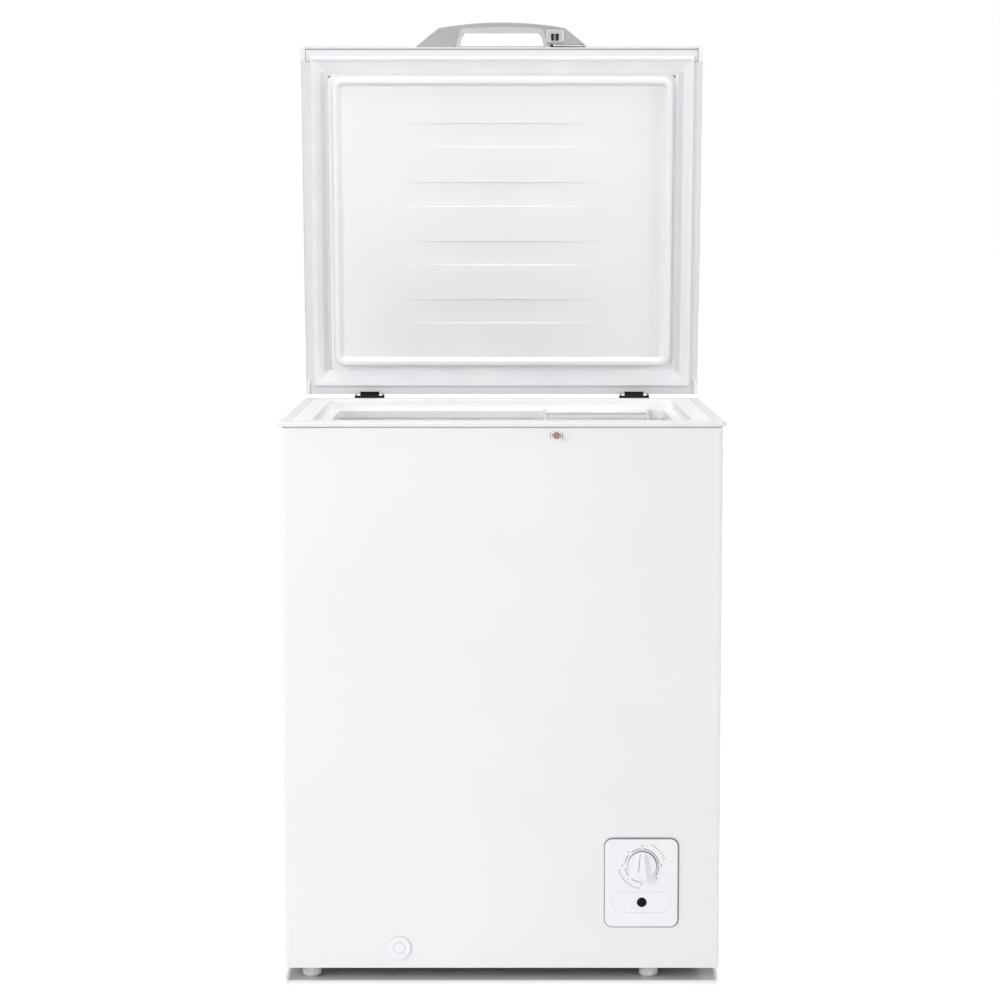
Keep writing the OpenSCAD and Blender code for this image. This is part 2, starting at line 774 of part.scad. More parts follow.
module control_panel() {
    placed() color(white) difference() {
        union() {
            translate([panel_x, shell_front, panel_z]) rotate([90, 0, 0])
                plate(panel_w, panel_h, panel_proud, panel_r);
            panel_cut(0, panel_box);
        }
        translate([0, panel_back - shell_front + 1, 0]) panel_cut(-2, panel_box);
        translate([panel_x, panel_face - 1, knob_z]) rod_y(0, 20, stem_r + 0.5);
        translate([panel_x, panel_face - 1, lens_z]) rod_y(0, 20, lens_r - 1);
    }
}

module thermostat() {
    placed() color(grey) translate([panel_x, panel_back, knob_z]) difference() {
        union() {
            translate([-22, 2, -16]) cube([44, 26, 32]);
            rod_y(0, 4, 8);
            for (x = [-1, 1]) translate([x * 15 - 3, 28, -12]) cube([6, 9, 8]);
        }
        rod_y(-1, stem_len, stem_r + pin_clear);
    }
}

module indicator_lens() {
    dome_r = 9.6;
    placed() color([0.05, 0.25, 0.25]) translate([panel_x, panel_face, lens_z]) {
        rod_y(0, 6, lens_r - 1.2);
        intersection() {
            translate([0, sqrt(dome_r * dome_r - lens_r * lens_r) - eps, 0]) sphere(r = dome_r, $fn = 64);
            rod_y(-5, 0, lens_r);
        }
    }
}

module indicator_lamp() {
    placed() color(grey) translate([panel_x, panel_face + 6, lens_z]) {
        rod_y(0, 18, 5);
        translate([-5, 18, -5]) cube([10, 8, 10]);
    }
}

module lock_keeper() {
    placed() color([0.62, 0.45, 0.22]) translate([keeper_x, 0, keeper_z]) {
        rod_y(hook_y - slide_clear, shell_front + 14, stud_r);
        translate([0, hook_y - slide_clear, 0]) rotate([90, 0, 0]) linear_extrude(2)
            polygon([[-3.6, -4], [3.6, -4], [2.6, 4], [-2.6, 4]]);
        translate([0, shell_front - 1.2, 0]) rod_y(0, 1.2, stud_r + 2.5);
    }
}

// ---- hinges ----

module each_side(side) {
    translate([side * hinge_x, 0, 0]) children();
}

module hinge_bracket(side) {
    w = hinge_w;
    placed() color(black) each_side(side) difference() {
        union() {
            translate([-w / 2, shell_back, channel_z]) cube([w, hinge_t, shell_top - channel_z - 4]);
            translate([-w / 2 - 14, shell_back, channel_z + 8]) cube([w + 28, hinge_t, channel_h - 32]);
            translate([-w / 2, shell_back, channel_z]) cube([w, channel_d, hinge_t]);
            for (x = [-w / 2, w / 2 - hinge_t]) {
                translate([x, shell_back, channel_z]) cube([hinge_t, channel_d, hinge_z - channel_z - 12]);
                translate([x, 0, 0]) rotate([90, 0, 90]) linear_extrude(hinge_t) {
                    translate([hinge_y, hinge_z]) circle(ear_r);
                    translate([hinge_y - ear_r, hinge_z - 13]) square([2 * ear_r, 13]);
                }
            }
        }
        translate([-w, hinge_y, hinge_z]) rod_x(0, 2 * w, pin_r + pin_clear);
        translate([0, channel_mid, channel_z - 1]) cylinder(h = hinge_t + 2, r = guide_r + slide_clear);
        for (x = [-1, 1], z = [20, channel_h - 44])
            translate([x * (w / 2 + 7), shell_back - 1, channel_z + z]) rod_y(0, 5, 2.2);
    }
}

module hinge_pin(side) {
    placed() color(steel) each_side(side) translate([0, hinge_y, hinge_z]) {
        rod_x(-hinge_w / 2 - 2, hinge_w / 2 + 1.5, pin_r);
        rod_x(hinge_w / 2 + 0.2, hinge_w / 2 + 2, pin_r + 1.3);
    }
}

// Flat-follower cam: its reach towards the plunger grows evenly as the lid closes
function cam_reach(a) = cam_r + cam_rate * max(a, 0) * PI / 180;
function cam_point(a) = let (h = cam_reach(a), dir = lid_open - 90 - a, k = a > 0 ? cam_rate : 0)
    [h * cos(dir) + k * sin(dir), h * sin(dir) - k * cos(dir)];

module cam_profile() {
    steps = 14;
    polygon(concat([for (i = [0:steps]) cam_point(-4 + (lid_open + 8) * i / steps)], [[0, 0]]));
}

module hinge_leaf(side) {
    on_lid() color(black) each_side(side) difference() {
        union() {
            translate([-leaf_w / 2, hinge_y, hinge_z]) rod_x(0, leaf_w, cam_r - 0.2);
            translate([-leaf_w / 2, lid_d, hinge_z + 1]) cube([leaf_w, hinge_t, lid_top - 5 - hinge_z]);
            translate([-leaf_w / 2, lid_d - 4, flange_z - hinge_t]) cube([leaf_w, 4 + hinge_t, hinge_t]);
            translate([-cam_w / 2, hinge_y, hinge_z]) rotate([90, 0, 90]) linear_extrude(cam_w) cam_profile();
        }
        translate([-leaf_w, hinge_y, hinge_z]) rod_x(0, 2 * leaf_w, pin_r + pin_clear);
        for (x = [-9, 9], z = [14, 28]) translate([x, lid_d - 1, flange_z + z]) rod_y(0, 5, 2.2);
    }
}

module hinge_plunger(side) {
    inner = hinge_w - 2 * hinge_t - 2 * slide_clear;
    placed() color(grey) each_side(side) {
        translate([-inner / 2, channel_mid - plunger_d / 2, plunger_top - plunger_h])
            cube([inner, plunger_d, plunger_h]);
        translate([0, channel_mid, channel_z - 6])
            cylinder(h = plunger_top - plunger_h - channel_z + 6 + eps, r = guide_r);
    }
}

module hinge_spring(side) {
    z0 = channel_z + hinge_t + wire_r + 0.2;
    z1 = plunger_top - plunger_h - wire_r - 0.2;
    steps = spring_turns * 14;
    placed() color(steel) each_side(side) wire([for (i = [0:steps])
        [spring_r * cos(360 * i / 14), channel_mid + spring_r * sin(360 * i / 14),
            z0 + (z1 - z0) * i / steps]],
        wire_r, 6);
}

// ---- machine compartment ----

module compressor() {
    z0 = comp_plate_z + 2.5;
    seam = comp_h * 0.55;
    placed() color(black) translate([comp_mid_x(), comp_mid_y(), 0]) {
        rotate_extrude($fn = 72) {
            translate([0, z0]) square([comp_r - 14, comp_h]);
            translate([0, z0 + 14]) square([comp_r, comp_h - 40]);
            translate([comp_r - 14, z0 + 14]) circle(14);
            translate([comp_r - 26, z0 + comp_h - 26]) circle(26);
            translate([0, z0 + seam]) square([comp_r + 4, 4]);
        }
        difference() {
            translate([0, 0, comp_plate_z]) plate(2 * mount_dx + 26, 2 * mount_dy + 26, 2.5, 12);
            for (x = [-1, 1], y = [-1, 1]) translate([x * mount_dx, y * mount_dy, comp_plate_z - 1])
                cylinder(h = 5, r = 6.2);
            for (x = [-1, 1]) translate([x * (mount_dx + 13), 0, comp_plate_z - 1]) plate(34, 60, 5, 12);
        }
    }
}

module compressor_mounts() {
    placed() color(black) for (x = [-1, 1], y = [-1, 1])
        translate([comp_mid_x() + x * mount_dx, comp_mid_y() + y * mount_dy, pan_z]) {
            cylinder(h = mount_h - 0.2, r = 11);
            cylinder(h = mount_h + 4, r = 6);
            translate([0, 0, mount_h + 2.7]) cylinder(h = 4, r = 9);
        }
}

module starting_relay() {
    placed() color(black) translate([comp_mid_x(), comp_mid_y() - comp_r - 4.3, comp_plate_z + 50]) {
        translate([-26, -34, 0]) cube([52, 34, 56]);
        translate([-10, -46, 14]) cube([20, 12, 22]);
    }
}

module suction_line() {
    x = comp_mid_x();
    y = comp_mid_y();
    hole = line_holes()[0];
    z = comp_plate_z + comp_h * 0.45;
    placed() color(copper) wire(eased([[x - sqrt(comp_r * comp_r - 100) - 0.5, y - 10, z],
        [x - comp_r - 14, y - 10, z],
        [x - comp_r - 14, y - 20, z + 34], [hole[0], hole[1], comp_z1 - 22],
            [hole[0], hole[1], comp_z1 - 0.2]], 9), 4, 8);
}

module discharge_line() {
    x = comp_mid_x();
    y = comp_mid_y();
    hole = line_holes()[1];
    z = comp_plate_z + 40;
    placed() color(copper) wire(eased([[x + sqrt(comp_r * comp_r - 196) + 0.5, y - 14, z],
        [x + comp_r + 16, y - 14, z],
        [x + comp_r + 16, y - 90, z], [x + comp_r + 10, y - 90, comp_z1 - 60],
            [hole[0], hole[1], comp_z1 - 30],
        [hole[0], hole[1], comp_z1 - 0.2]], 9), 3, 8);
}

module filter_dryer() {
    x = comp_x0 + lining_t + 14;
    y = comp_mid_y() - comp_r - 70;
    z = pan_z + 70;
    placed() color(copper) {
        translate([x, y, z]) rotate_extrude() {
            square([8, 60]);
            translate([0, -8]) square([4, 76]);
        }
        translate([x - 13.8, y - 10, z + 26]) cube([6.5, 20, 6]);
        wire(concat([[x, y, z + 66], [x + 5, y, z + 71]],
            [for (i = [0:56]) [x + 9 * cos(360 * i / 14), y + 9 * sin(360 * i / 14), z + 73 + i * 0.35]]),
                1.2, 6);
    }
}

module rear_feet() {
    placed() color(black) for (x = [-foot_left_x, foot_left_x])
        translate([x, shell_back - foot_inset, 0]) rotate_extrude() {
            square([foot_r, 3]);
            polygon([[0, 3], [foot_r, 3], [foot_r - 2, floor_gap], [0, floor_gap]]);
        }
}

module cord_inlet() {
    placed() color(black) translate([cord_x, shell_back, cord_z]) difference() {
        union() {
            rod_y(-3, grille_t + 5, cord_r);
            rod_y(grille_t, grille_t + 2.5, cord_r + 2.5);
        }
        rod_y(-4, grille_t + 6, 4.5);
    }
}

module cabinet_screws() {
    placed() color(steel) {
        for (sx = [-1, 1], sy = [-1, 1])
            translate([grille_x + sx * (grille_w / 2 - vent_screw_inset), shell_back + grille_t,
                grille_z + sy * (grille_h / 2 - vent_screw_inset)]) rotate([-90, 0, 0]) screw_head(4, 2);
        for (side = [-1, 1], x = [-1, 1], z = [20, channel_h - 44])
            translate([side * hinge_x + x * (hinge_w / 2 + 7), shell_back + hinge_t, channel_z + z])
                rotate([-90, 0, 0]) screw_head(4, 2);
    }
}

// ---- lid ----

module cap_region(grow, height, z) {
    for (x = [-1, 1], y = [-1, 1])
        translate([x * (lid_w / 2 - cap_w / 2 + grow / 2),
            lid_mid_y + y * (lid_d / 2 - cap_len / 2 + grow / 2), z])
            translate([-(cap_w + grow) / 2, -(cap_len + grow) / 2, 0])
                cube([cap_w + grow, cap_len + grow, height]);
}

module lid_skin() {
    t = sheet_t;
    on_lid() color(paint) difference() {
        translate([0, lid_mid_y, flange_z]) slab(lid_w, lid_d, lid_t, 3, lid_edge_r);
        translate([0, lid_mid_y, flange_z + t])
            slab(lid_w - 2 * t, lid_d - 2 * t, lid_t - 2 * t, 3 - t, lid_edge_r - t);
        translate([0, lid_mid_y, flange_z - 1]) plate(lid_w - 2 * liner_edge, lid_d - 2 * liner_edge, 10, 4);
        cap_region(0.01, lid_t + 4, flange_z - 2);
    }
}

// Outline of the liner's ridge, from its joint in the border to its slope into the field
module ridge_sheet() {
    r = 3.5;
    outer = ridge_inset - liner_edge - ridge_front;
    difference() {
        union() {
            translate([3, ridge_drop]) square([outer - 3, liner_t]);
            polygon([[4.5, ridge_drop + 1], [0, r], [0, 0], [-ridge_w, 0], [field_u, field_rise],
                [field_u - 1, field_rise],
                [field_u - 1, field_rise + liner_t], [field_u + 1, field_rise + liner_t],
                    [1 - ridge_w, liner_t],
                [-liner_t - 1, liner_t], [-liner_t - 0.5, r], [3, ridge_drop + 1]]);
        }
        difference() {
            translate([-r, -1]) square([r + 1, r + 1]);
            translate([-r, r]) circle(r);
        }
    }
}

module ridge_core() {
    polygon([[3, ridge_drop + liner_t + 1], [3, ridge_drop + 1], [-liner_t - 0.5, 3.5],
        [-liner_t - 1, liner_t],
        [1 - ridge_w, liner_t], [field_u + 1, field_rise + liner_t], [field_u - 1, field_rise + liner_t],
        [field_u - 1, ridge_drop + liner_t + 1]]);
}

// Lens-shaped grooves pressed across the liner's field, deepest in their middle
module grooves() {
    half = groove_len / 2;
    steps = 24;
    bow = [for (i = [0:steps]) let (x = 2 * i / steps - 1) [half * x, groove_depth * (1 - x * x)]];
    for (k = [0:groove_count - 1])
        translate([0, lid_mid_y + (k - (groove_count - 1) / 2) * groove_pitch, field_z]) intersection() {
            rotate([90, 0, 0]) linear_extrude(groove_w, center = true)
                polygon(concat(bow, [[half, -1], [-half, -1]]));
            translate([-groove_len, 0, 0]) rotate([90, 0, 90]) linear_extrude(2 * groove_len)
                polygon([[-groove_w / 2, -2], [groove_w / 2, -2], [groove_w / 2 - 1.5, 4],
                    [3.5 - groove_w / 2, 4]]);
        }
}

module lid_liner() {
    on_lid() color(white) {
        translate([0, ridge_mid_y, ridge_z]) swept_frame(ridge_w_out, ridge_d_out, ridge_r) ridge_sheet();
        translate([0, lid_mid_y, ridge_z + ridge_drop]) difference() {
            plate(lid_w - 2 * liner_edge, lid_d - 2 * liner_edge, liner_t, 4);
            translate([0, ridge_mid_y - lid_mid_y, -1])
                plate(ridge_w_out + 12, ridge_d_out + 12, 10, ridge_r + 6);
        }
        difference() {
            translate([0, ridge_mid_y, field_z])
                plate(ridge_w_out + 2 * field_u, ridge_d_out + 2 * field_u, field_t, 3);
            grooves();
        }
    }
}

module lid_foam() {
    t = sheet_t;
    on_lid() color(foam_colour) difference() {
        union() {
            difference() {
                translate([0, lid_mid_y, flange_z + t])
                    slab(lid_w - 2 * t, lid_d - 2 * t, lid_t - 2 * t, 3 - t, lid_edge_r - t);
                translate([0, lid_mid_y, flange_z])
                    plate(lid_w - 2 * liner_edge, lid_d - 2 * liner_edge, liner_t, 4);
            }
            translate([0, ridge_mid_y, ridge_z]) swept_frame(ridge_w_out, ridge_d_out, ridge_r) ridge_core();
            translate([0, ridge_mid_y, field_z + liner_t])
                plate(ridge_w_out + 2 * field_u + 2, ridge_d_out + 2 * field_u + 2,
                    ridge_drop - field_rise + 1, 4);
        }
        translate([0, ridge_mid_y, field_z])
            plate(ridge_w_out + 2 * field_u, ridge_d_out + 2 * field_u, field_t, 3);
        cap_region(0.02, lid_t + 4, flange_z - 2);
    }
}

// Sealing bead at the outer edge, with the magnet's chamber behind it and a thinner flap inwards
module gasket_profile() {
    h = lid_gap - gasket_gap;
    bead = 3;
    difference() {
        union() {
            polygon([[0, h], [0, bead], [-bead, 0], [-2.4 * bead, 0], [-gasket_w + 3, 4.2],
                [-gasket_w, 5.8], [-gasket_w, h]]);
            translate([-bead, bead]) circle(bead);
        }
        translate([-12.5, 2.7]) square([6, 2.5]);
    }
}

module lid_gasket() {
    on_lid() color(white) translate([0, lid_mid_y, rim_top + gasket_gap])
        mitred_frame(lid_w - 2 * border_w, lid_d - 2 * border_w, gasket_w) gasket_profile();
}

module lid_corner_caps() {
    p = cap_proud;
    on_lid() color(white) intersection() {
        translate([0, lid_mid_y, flange_z - p])
            slab(lid_w + 2 * p, lid_d + 2 * p, lid_t + p, 3 + p, lid_edge_r);
        cap_region(2 * p, lid_t + 4, flange_z - 2);
    }
}

module handle_outline() {
    rise = handle_reach - shoulder_reach;
    big = (shoulder_len * shoulder_len / 4 + rise * rise) / (2 * rise);
    intersection() {
        polygon([[-handle_len / 2, 0], [handle_len / 2, 0], [shoulder_len / 2, -shoulder_reach],
            [shoulder_len / 2, -handle_reach - 5], [-shoulder_len / 2, -handle_reach - 5],
                [-shoulder_len / 2, -shoulder_reach]]);
        translate([0, big - handle_reach]) circle(big, $fn = 360);
    }
}

module grip_outline() {
    r = 5;
    top = grip_top_len / 2;
    difference() {
        polygon([[-grip_len / 2, 1], [grip_len / 2, 1], [top, -grip_depth], [-top, -grip_depth]]);
        for (x = [-1, 1]) translate([x * (top - r), r - grip_depth]) difference() {
            translate([x > 0 ? 0 : -r - 1, -r - 1]) square([r + 1, r + 1]);
            circle(r);
        }
    }
}

module lid_handle() {
    on_lid() color(grey) difference() {
        translate([0, 0, handle_z]) linear_extrude(handle_h) difference() {
            handle_outline();
            grip_outline();
        }
        translate([lock_x - case_w / 2 - 0.1, case_y0 - 0.1, handle_z - 1])
            cube([case_w + 0.2, case_y1 - case_y0 + 0.2, case_h + 0.1]);
        translate([lock_x - guard_w / 2 - 0.1, case_y1 - 0.1, handle_z - 1])
            cube([guard_w + 0.2, guard_y1 - case_y1 + 0.2, guard_h + 0.1]);
        translate([lock_x - 7, hook_y - 0.8, handle_z - 1]) cube([80, 10, lock_z - handle_z + 8]);
        translate([lock_x, -handle_reach - 1, lock_z]) rod_y(0, handle_reach, lock_r + pin_clear);
        for (x = [-1, 1]) translate([x * handle_screw_x, -handle_reach - 1, handle_screw_z]) {
            rod_y(0, 60, 2.2);
            rod_y(0, handle_reach - 4, 5);
        }
    }
}

module lock_case() {
    on_lid() color([0.82, 0.83, 0.84]) difference() {
        union() {
            translate([lock_x - case_w / 2, case_y0, handle_z - 1]) cube([case_w, case_y1 - case_y0, case_h]);
            translate([lock_x - guard_w / 2, case_y1, handle_z - 1])
                cube([guard_w, guard_y1 - case_y1, guard_h]);
        }
        translate([lock_x, -handle_reach, lock_z]) rod_y(0, handle_reach + 5, lock_r + pin_clear);
        translate([lock_x - lock_r, case_y0 + 6, handle_z - 2])
            cube([2 * lock_r, case_y1 - case_y0 - 6, lock_z - handle_z]);
    }
}

module lock_cylinder() {
    on_lid() color(black) difference() {
        translate([lock_x, 0, lock_z]) {
            rod_y(lock_y - 0.5, hook_y - 0.3, lock_r);
            rod_y(hook_y - 0.4, hook_y, 3);
        }
        translate([lock_x - 0.6, lock_y - 2, lock_z - 4]) cube([1.2, 10, 8]);
    }
}

// Flat hook that swings down behind the keeper's head
module lock_hook() {
    on_lid() color(steel) translate([lock_x, hook_y, lock_z]) rotate([0, hook_rest, 0]) rotate([-90, 0, 0])
        linear_extrude(hook_t)
        difference() {
            union() {
                circle(lock_r - 0.5);
                translate([0, -hook_w / 2]) square([hook_reach - 2, hook_w]);
                translate([hook_reach, 0]) circle(hook_w / 2 + 1);
            }
            translate([hook_reach, 0]) circle(stud_r + 0.6);
            translate([hook_reach - stud_r - 0.6, 0]) square([2 * stud_r + 1.2, 10]);
        }
}

module lid_screws() {
    on_lid() color(steel) {
        for (side = [-1, 1], x = [-9, 9], z = [14, 28])
            translate([side * hinge_x + x, lid_d + hinge_t, flange_z + z]) rotate([-90, 0, 0])
                screw_head(4, 1.8);
        for (x = [-1, 1]) translate([x * handle_screw_x, -5, handle_screw_z]) rotate([90, 0, 0])
            screw_head(4, 2.5);
    }
}

// ---- basket ----

module basket_place() {
    placed() translate([basket_x, mid_y, 0]) children();
}

// Top hoop of the mesh and the four posts that hook over the ledge at front and back
module basket_frame() {
    w = basket_w / 2;
    d = basket_d / 2;
    r = frame_wire_r;
    basket_place() color(white) {
        translate([0, 0, mesh_top]) swept_frame(2 * w, 2 * d, 5) circle(r);
        for (x = [-1, 1], y = [-1, 1]) translate([x * w, y * d, 0]) {
            translate([0, 0, mesh_top]) cylinder(h = hanger_top - mesh_top, r = r);
            translate([0, 0, hanger_top]) sphere(r);
            translate([0, 0, hanger_top]) rod_y(y > 0 ? 0 : -hook_out, y > 0 ? hook_out : 0, r);
        }
        for (y = [-1, 1]) translate([0, y * d, hanger_top - 5]) rod_x(-w, w, r * 0.7);
    }
}

// A flat wire grid that hangs under the hoop: uprights, with cross wires on the inner side
module grid(len, low, n, cross_len) {
    r = mesh_wire_r;
    span = len - 2 * wall_inset;
    for (k = [0:n - 1]) translate([-span / 2 + span * k / (n - 1), 0, mesh_bottom - low])
        cylinder(h = mesh_top - frame_wire_r - mesh_bottom + low, r = r);
    for (k = [1:3]) translate([0, lap * r, mesh_bottom + basket_h * k / 4])
        rod_x(-cross_len / 2, cross_len / 2, r);
}

module basket_front() {
    basket_place() color(white) translate([0, -basket_d / 2, 0])
        grid(basket_w, lap * mesh_wire_r, short_wires, end_cross);
}

module basket_back() {
    basket_place() color(white) translate([0, basket_d / 2, 0]) rotate(180)
        grid(basket_w, lap * mesh_wire_r, short_wires, end_cross);
}

module basket_left() {
    basket_place() color(white) translate([-basket_w / 2, 0, 0]) rotate(-90)
        grid(basket_d, 0, long_wires, basket_d - 4);
}

module basket_right() {
    basket_place() color(white) translate([basket_w / 2, 0, 0]) rotate(90)
        grid(basket_d, 0, long_wires, basket_d - 4);
}

module basket_floor() {
    r = mesh_wire_r;
    across = basket_w - 2 * wall_inset;
    along = basket_d - 2 * wall_inset;
    basket_place() color(white) translate([0, 0, mesh_bottom - r]) {
        for (k = [0:long_wires - 1]) translate([0, along * (k / (long_wires - 1) - 0.5), 0])
            rod_x(-basket_w / 2 - r, basket_w / 2 + r, r);
        for (k = [0:short_wires - 1]) translate([across * (k / (short_wires - 1) - 0.5), 0, -lap * r])
            rod_y(-basket_d / 2 - r, basket_d / 2 + r, r);
    }
}

// ---- small moving parts ----

module control_knob() {
    placed() color(white) translate([panel_x, 0, knob_z]) {
        translate([0, knob_face, 0]) rod_y(0, knob_t, knob_r);
        translate([0, knob_face + knob_t - 1, 0]) rod_y(0, stem_len - 6, stem_r);
        translate([0, knob_face + eps, 0]) rotate([90, 0, 0]) linear_extrude(grip_h + eps) intersection() {
            circle(knob_r - 1.5);
            polygon([[-2.2, knob_r], [2.2, knob_r], [3.5, 0], [8, -knob_r], [-8, -knob_r], [-3.5, 0]]);
        }
    }
}

module drain_cap() {
    placed() color(white) translate([drain_x, 0, drain_z]) difference() {
        union() {
            translate([0, shell_front - slide_clear - 3, 0]) rod_y(0, 3, drain_cap_r);
            translate([0, shell_front - slide_clear - 1, 0]) rod_y(0, 12, drain_r - slide_clear);
        }
        translate([0, shell_front - slide_clear - 4, 0]) difference() {
            rod_y(0, 1.6, drain_cap_r * 0.56);
            rod_y(-1, 3, drain_cap_r * 0.46);
        }
    }
}

module drain_plug() {
    placed() color(white) translate([drain_x, drain_y, tank_z]) {
        translate([0, 0, slide_clear]) cylinder(h = 3, r = drain_r + 5);
        translate([0, 0, -10]) cylinder(h = 11, r = drain_r - slide_clear);
        translate([-7, -1.5, slide_clear + 2]) cube([14, 3, 11]);
    }
}

module foot(x) {
    ribs = 18;
    toe = 4;
    top = floor_gap - slide_clear;
    placed() color(grey) translate([x, shell_front + foot_inset, 0]) {
        difference() {
            translate([0, 0, toe]) cylinder(h = top - toe, r = foot_r);
            for (k = [0:ribs - 1]) rotate(360 * (k + 0.5) / ribs) translate([foot_r + 0.6, 0, toe + 1])
                cylinder(h = top, r = 1.6);
        }
        cylinder(h = toe, r1 = foot_r - toe, r2 = foot_r);
        cylinder(h = floor_gap + boss_h, r = foot_stem_r);
    }
}

outer_wrapper();
back_panel();
base_pan();
compartment_lining();
rear_grille();
cabinet_foam();
inner_tank();
top_collar();
rim_band();
control_panel();
thermostat();
indicator_lens();
indicator_lamp();
drain_tube();
lock_keeper();
hinge_bracket(-1);  // hinge_bracket_left
hinge_bracket(1);  // hinge_bracket_right
hinge_pin(-1);  // hinge_pin_left
hinge_pin(1);  // hinge_pin_right
hinge_spring(-1);  // hinge_spring_left
hinge_spring(1);  // hinge_spring_right
compressor();
compressor_mounts();
starting_relay();
suction_line();
discharge_line();
filter_dryer();
evaporator_coil();
condenser_coil();
rear_feet();
cord_inlet();
cabinet_screws();
lid_skin();
lid_foam();
lid_liner();
lid_gasket();
lid_corner_caps();
lid_handle();
lock_case();
hinge_leaf(-1);  // hinge_leaf_left
hinge_leaf(1);  // hinge_leaf_right
lid_screws();
lock_cylinder();
lock_hook();
basket_frame();
basket_front();
basket_back();
basket_left();
basket_right();
basket_floor();
control_knob();
drain_cap();
drain_plug();
foot(-foot_left_x);  // front_foot_left
foot(foot_right_x);  // front_foot_right
hinge_plunger(-1);  // hinge_plunger_left
hinge_plunger(1);  // hinge_plunger_right
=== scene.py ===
import json
import math
import bpy
import bmesh
from mathutils import Matrix, Vector


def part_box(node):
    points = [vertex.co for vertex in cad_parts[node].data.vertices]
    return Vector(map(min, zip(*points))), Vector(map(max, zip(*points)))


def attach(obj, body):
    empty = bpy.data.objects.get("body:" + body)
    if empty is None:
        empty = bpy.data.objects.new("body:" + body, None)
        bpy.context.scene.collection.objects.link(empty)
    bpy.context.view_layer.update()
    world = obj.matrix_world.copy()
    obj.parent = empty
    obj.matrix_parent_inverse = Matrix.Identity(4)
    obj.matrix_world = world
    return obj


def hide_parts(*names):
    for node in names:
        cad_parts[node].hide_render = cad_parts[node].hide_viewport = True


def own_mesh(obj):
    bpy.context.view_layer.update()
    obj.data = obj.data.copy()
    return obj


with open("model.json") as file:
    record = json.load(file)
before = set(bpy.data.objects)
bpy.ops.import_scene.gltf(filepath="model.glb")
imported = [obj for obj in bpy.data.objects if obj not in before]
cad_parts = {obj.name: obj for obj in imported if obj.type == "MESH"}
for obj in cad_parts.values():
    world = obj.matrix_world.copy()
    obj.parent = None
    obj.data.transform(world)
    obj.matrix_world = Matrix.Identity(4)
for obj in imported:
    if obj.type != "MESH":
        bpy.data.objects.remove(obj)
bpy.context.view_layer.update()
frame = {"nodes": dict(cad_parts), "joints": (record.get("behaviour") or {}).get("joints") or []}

nodes = frame["nodes"]
scene = bpy.context.scene
scene.view_settings.view_transform = "Standard"
print("frame loaded,", len(nodes), "pieces")

mm = 0.001


def linear(hexColour, alpha=1.0):
    parts = [int(hexColour[i:i + 2], 16) / 255 for i in (1, 3, 5)]
    return [c / 12.92 if c <= 0.04045 else ((c + 0.055) / 1.055) ** 2.4 for c in parts] + [alpha]


# the camera stands about four metres off, level with the open lid, and looks a little down
cameraPlace = {"lens": 99.0, "tilt": 5.7, "x": -0.0029, "y": -4.1449, "z": 1.0766}
cameraData = bpy.data.cameras.new("camera")
cameraData.lens = cameraPlace["lens"]
cameraData.sensor_width = 36
cameraObject = bpy.data.objects.new("camera", cameraData)
cameraObject.location = (cameraPlace["x"], cameraPlace["y"], cameraPlace["z"])
cameraObject.rotation_euler = (math.radians(90 - cameraPlace["tilt"]), 0, 0)
scene.collection.objects.link(cameraObject)
scene.camera = cameraObject
print("camera placed")


# adds any shader node: settings are attributes or input values, links join inputs to (node, output)
def addNode(tree, kind, settings=None, links=None):
    made = tree.nodes.new("ShaderNode" + kind)
    for key, value in (settings or {}).items():
        if isinstance(key, int) or key in made.inputs:
            made.inputs[key].default_value = value
        else:
            setattr(made, key, value)
    for key, source in (links or {}).items():
        tree.links.new(source[0].outputs[source[1]], made.inputs[key])
    return made


def newMaterial(name):
    material = bpy.data.materials.new(name)
    material.use_nodes = True
    material.node_tree.nodes.clear()
    return material, material.node_tree


def finishMaterial(tree, shader):
    addNode(tree, "OutputMaterial", links={"Surface": (shader, 0)})


# a surface whose tint drifts between two colours, with a fine bump and a breathing roughness
def plainFinish(name, look):
    material, tree = newMaterial(name)
    where = {"Vector": (addNode(tree, "TexCoord"), "Object")}
    drift = addNode(tree, "TexNoise", {"Scale": 1 / (look["driftSize"] * mm), "Detail": 3.0}, where)
    tint = addNode(tree, "ValToRGB", links={"Fac": (drift, "Fac")})
    tint.color_ramp.elements[0].color = linear(look["colour"])
    tint.color_ramp.elements[0].position = 0.3
    tint.color_ramp.elements[1].color = linear(look["tint"])
    tint.color_ramp.elements[1].position = 0.7
    rough = addNode(tree, "MapRange", {"To Min": look["rough"][0], "To Max": look["rough"][1]},
                    {"Value": (drift, "Fac")})
    grain = addNode(tree, "TexNoise", {"Scale": 1 / (look["grainSize"] * mm), "Detail": 2.0}, where)
    bump = addNode(tree, "Bump", {"Strength": look["bump"], "Distance": look["grainHeight"] * mm},
                   {"Height": (grain, "Fac")})
    settings = {"Metallic": look.get("metal", 0.0), "IOR": look.get("ior", 1.48)}
    if "coat" in look:
        settings.update({"Coat Weight": look["coat"], "Coat Roughness": 0.12})
    shader = addNode(tree, "BsdfPrincipled", settings,
                     {"Base Color": (tint, "Color"), "Roughness": (rough, "Result"), "Normal": (bump, "Normal")})
    finishMaterial(tree, shader)
    return material


# baked enamel: 2 mm orange peel, tint drifts over 300 mm
whiteEnamel = plainFinish("white baked enamel", {
    "colour": "#e2e2e3", "tint": "#dfdfe1", "driftSize": 300, "rough": (0.30, 0.38),
    "grainSize": 2.0, "bump": 0.12, "grainHeight": 0.05})
# the lid's copy of the enamel is painted darker than the cabinet's: painted shade
lidEnamelShaded = plainFinish("white baked lid enamel with painted shade", {
    "colour": "#d9dadc", "tint": "#d6d7d9", "driftSize": 300, "rough": (0.30, 0.38),
    "grainSize": 2.0, "bump": 0.12, "grainHeight": 0.05})
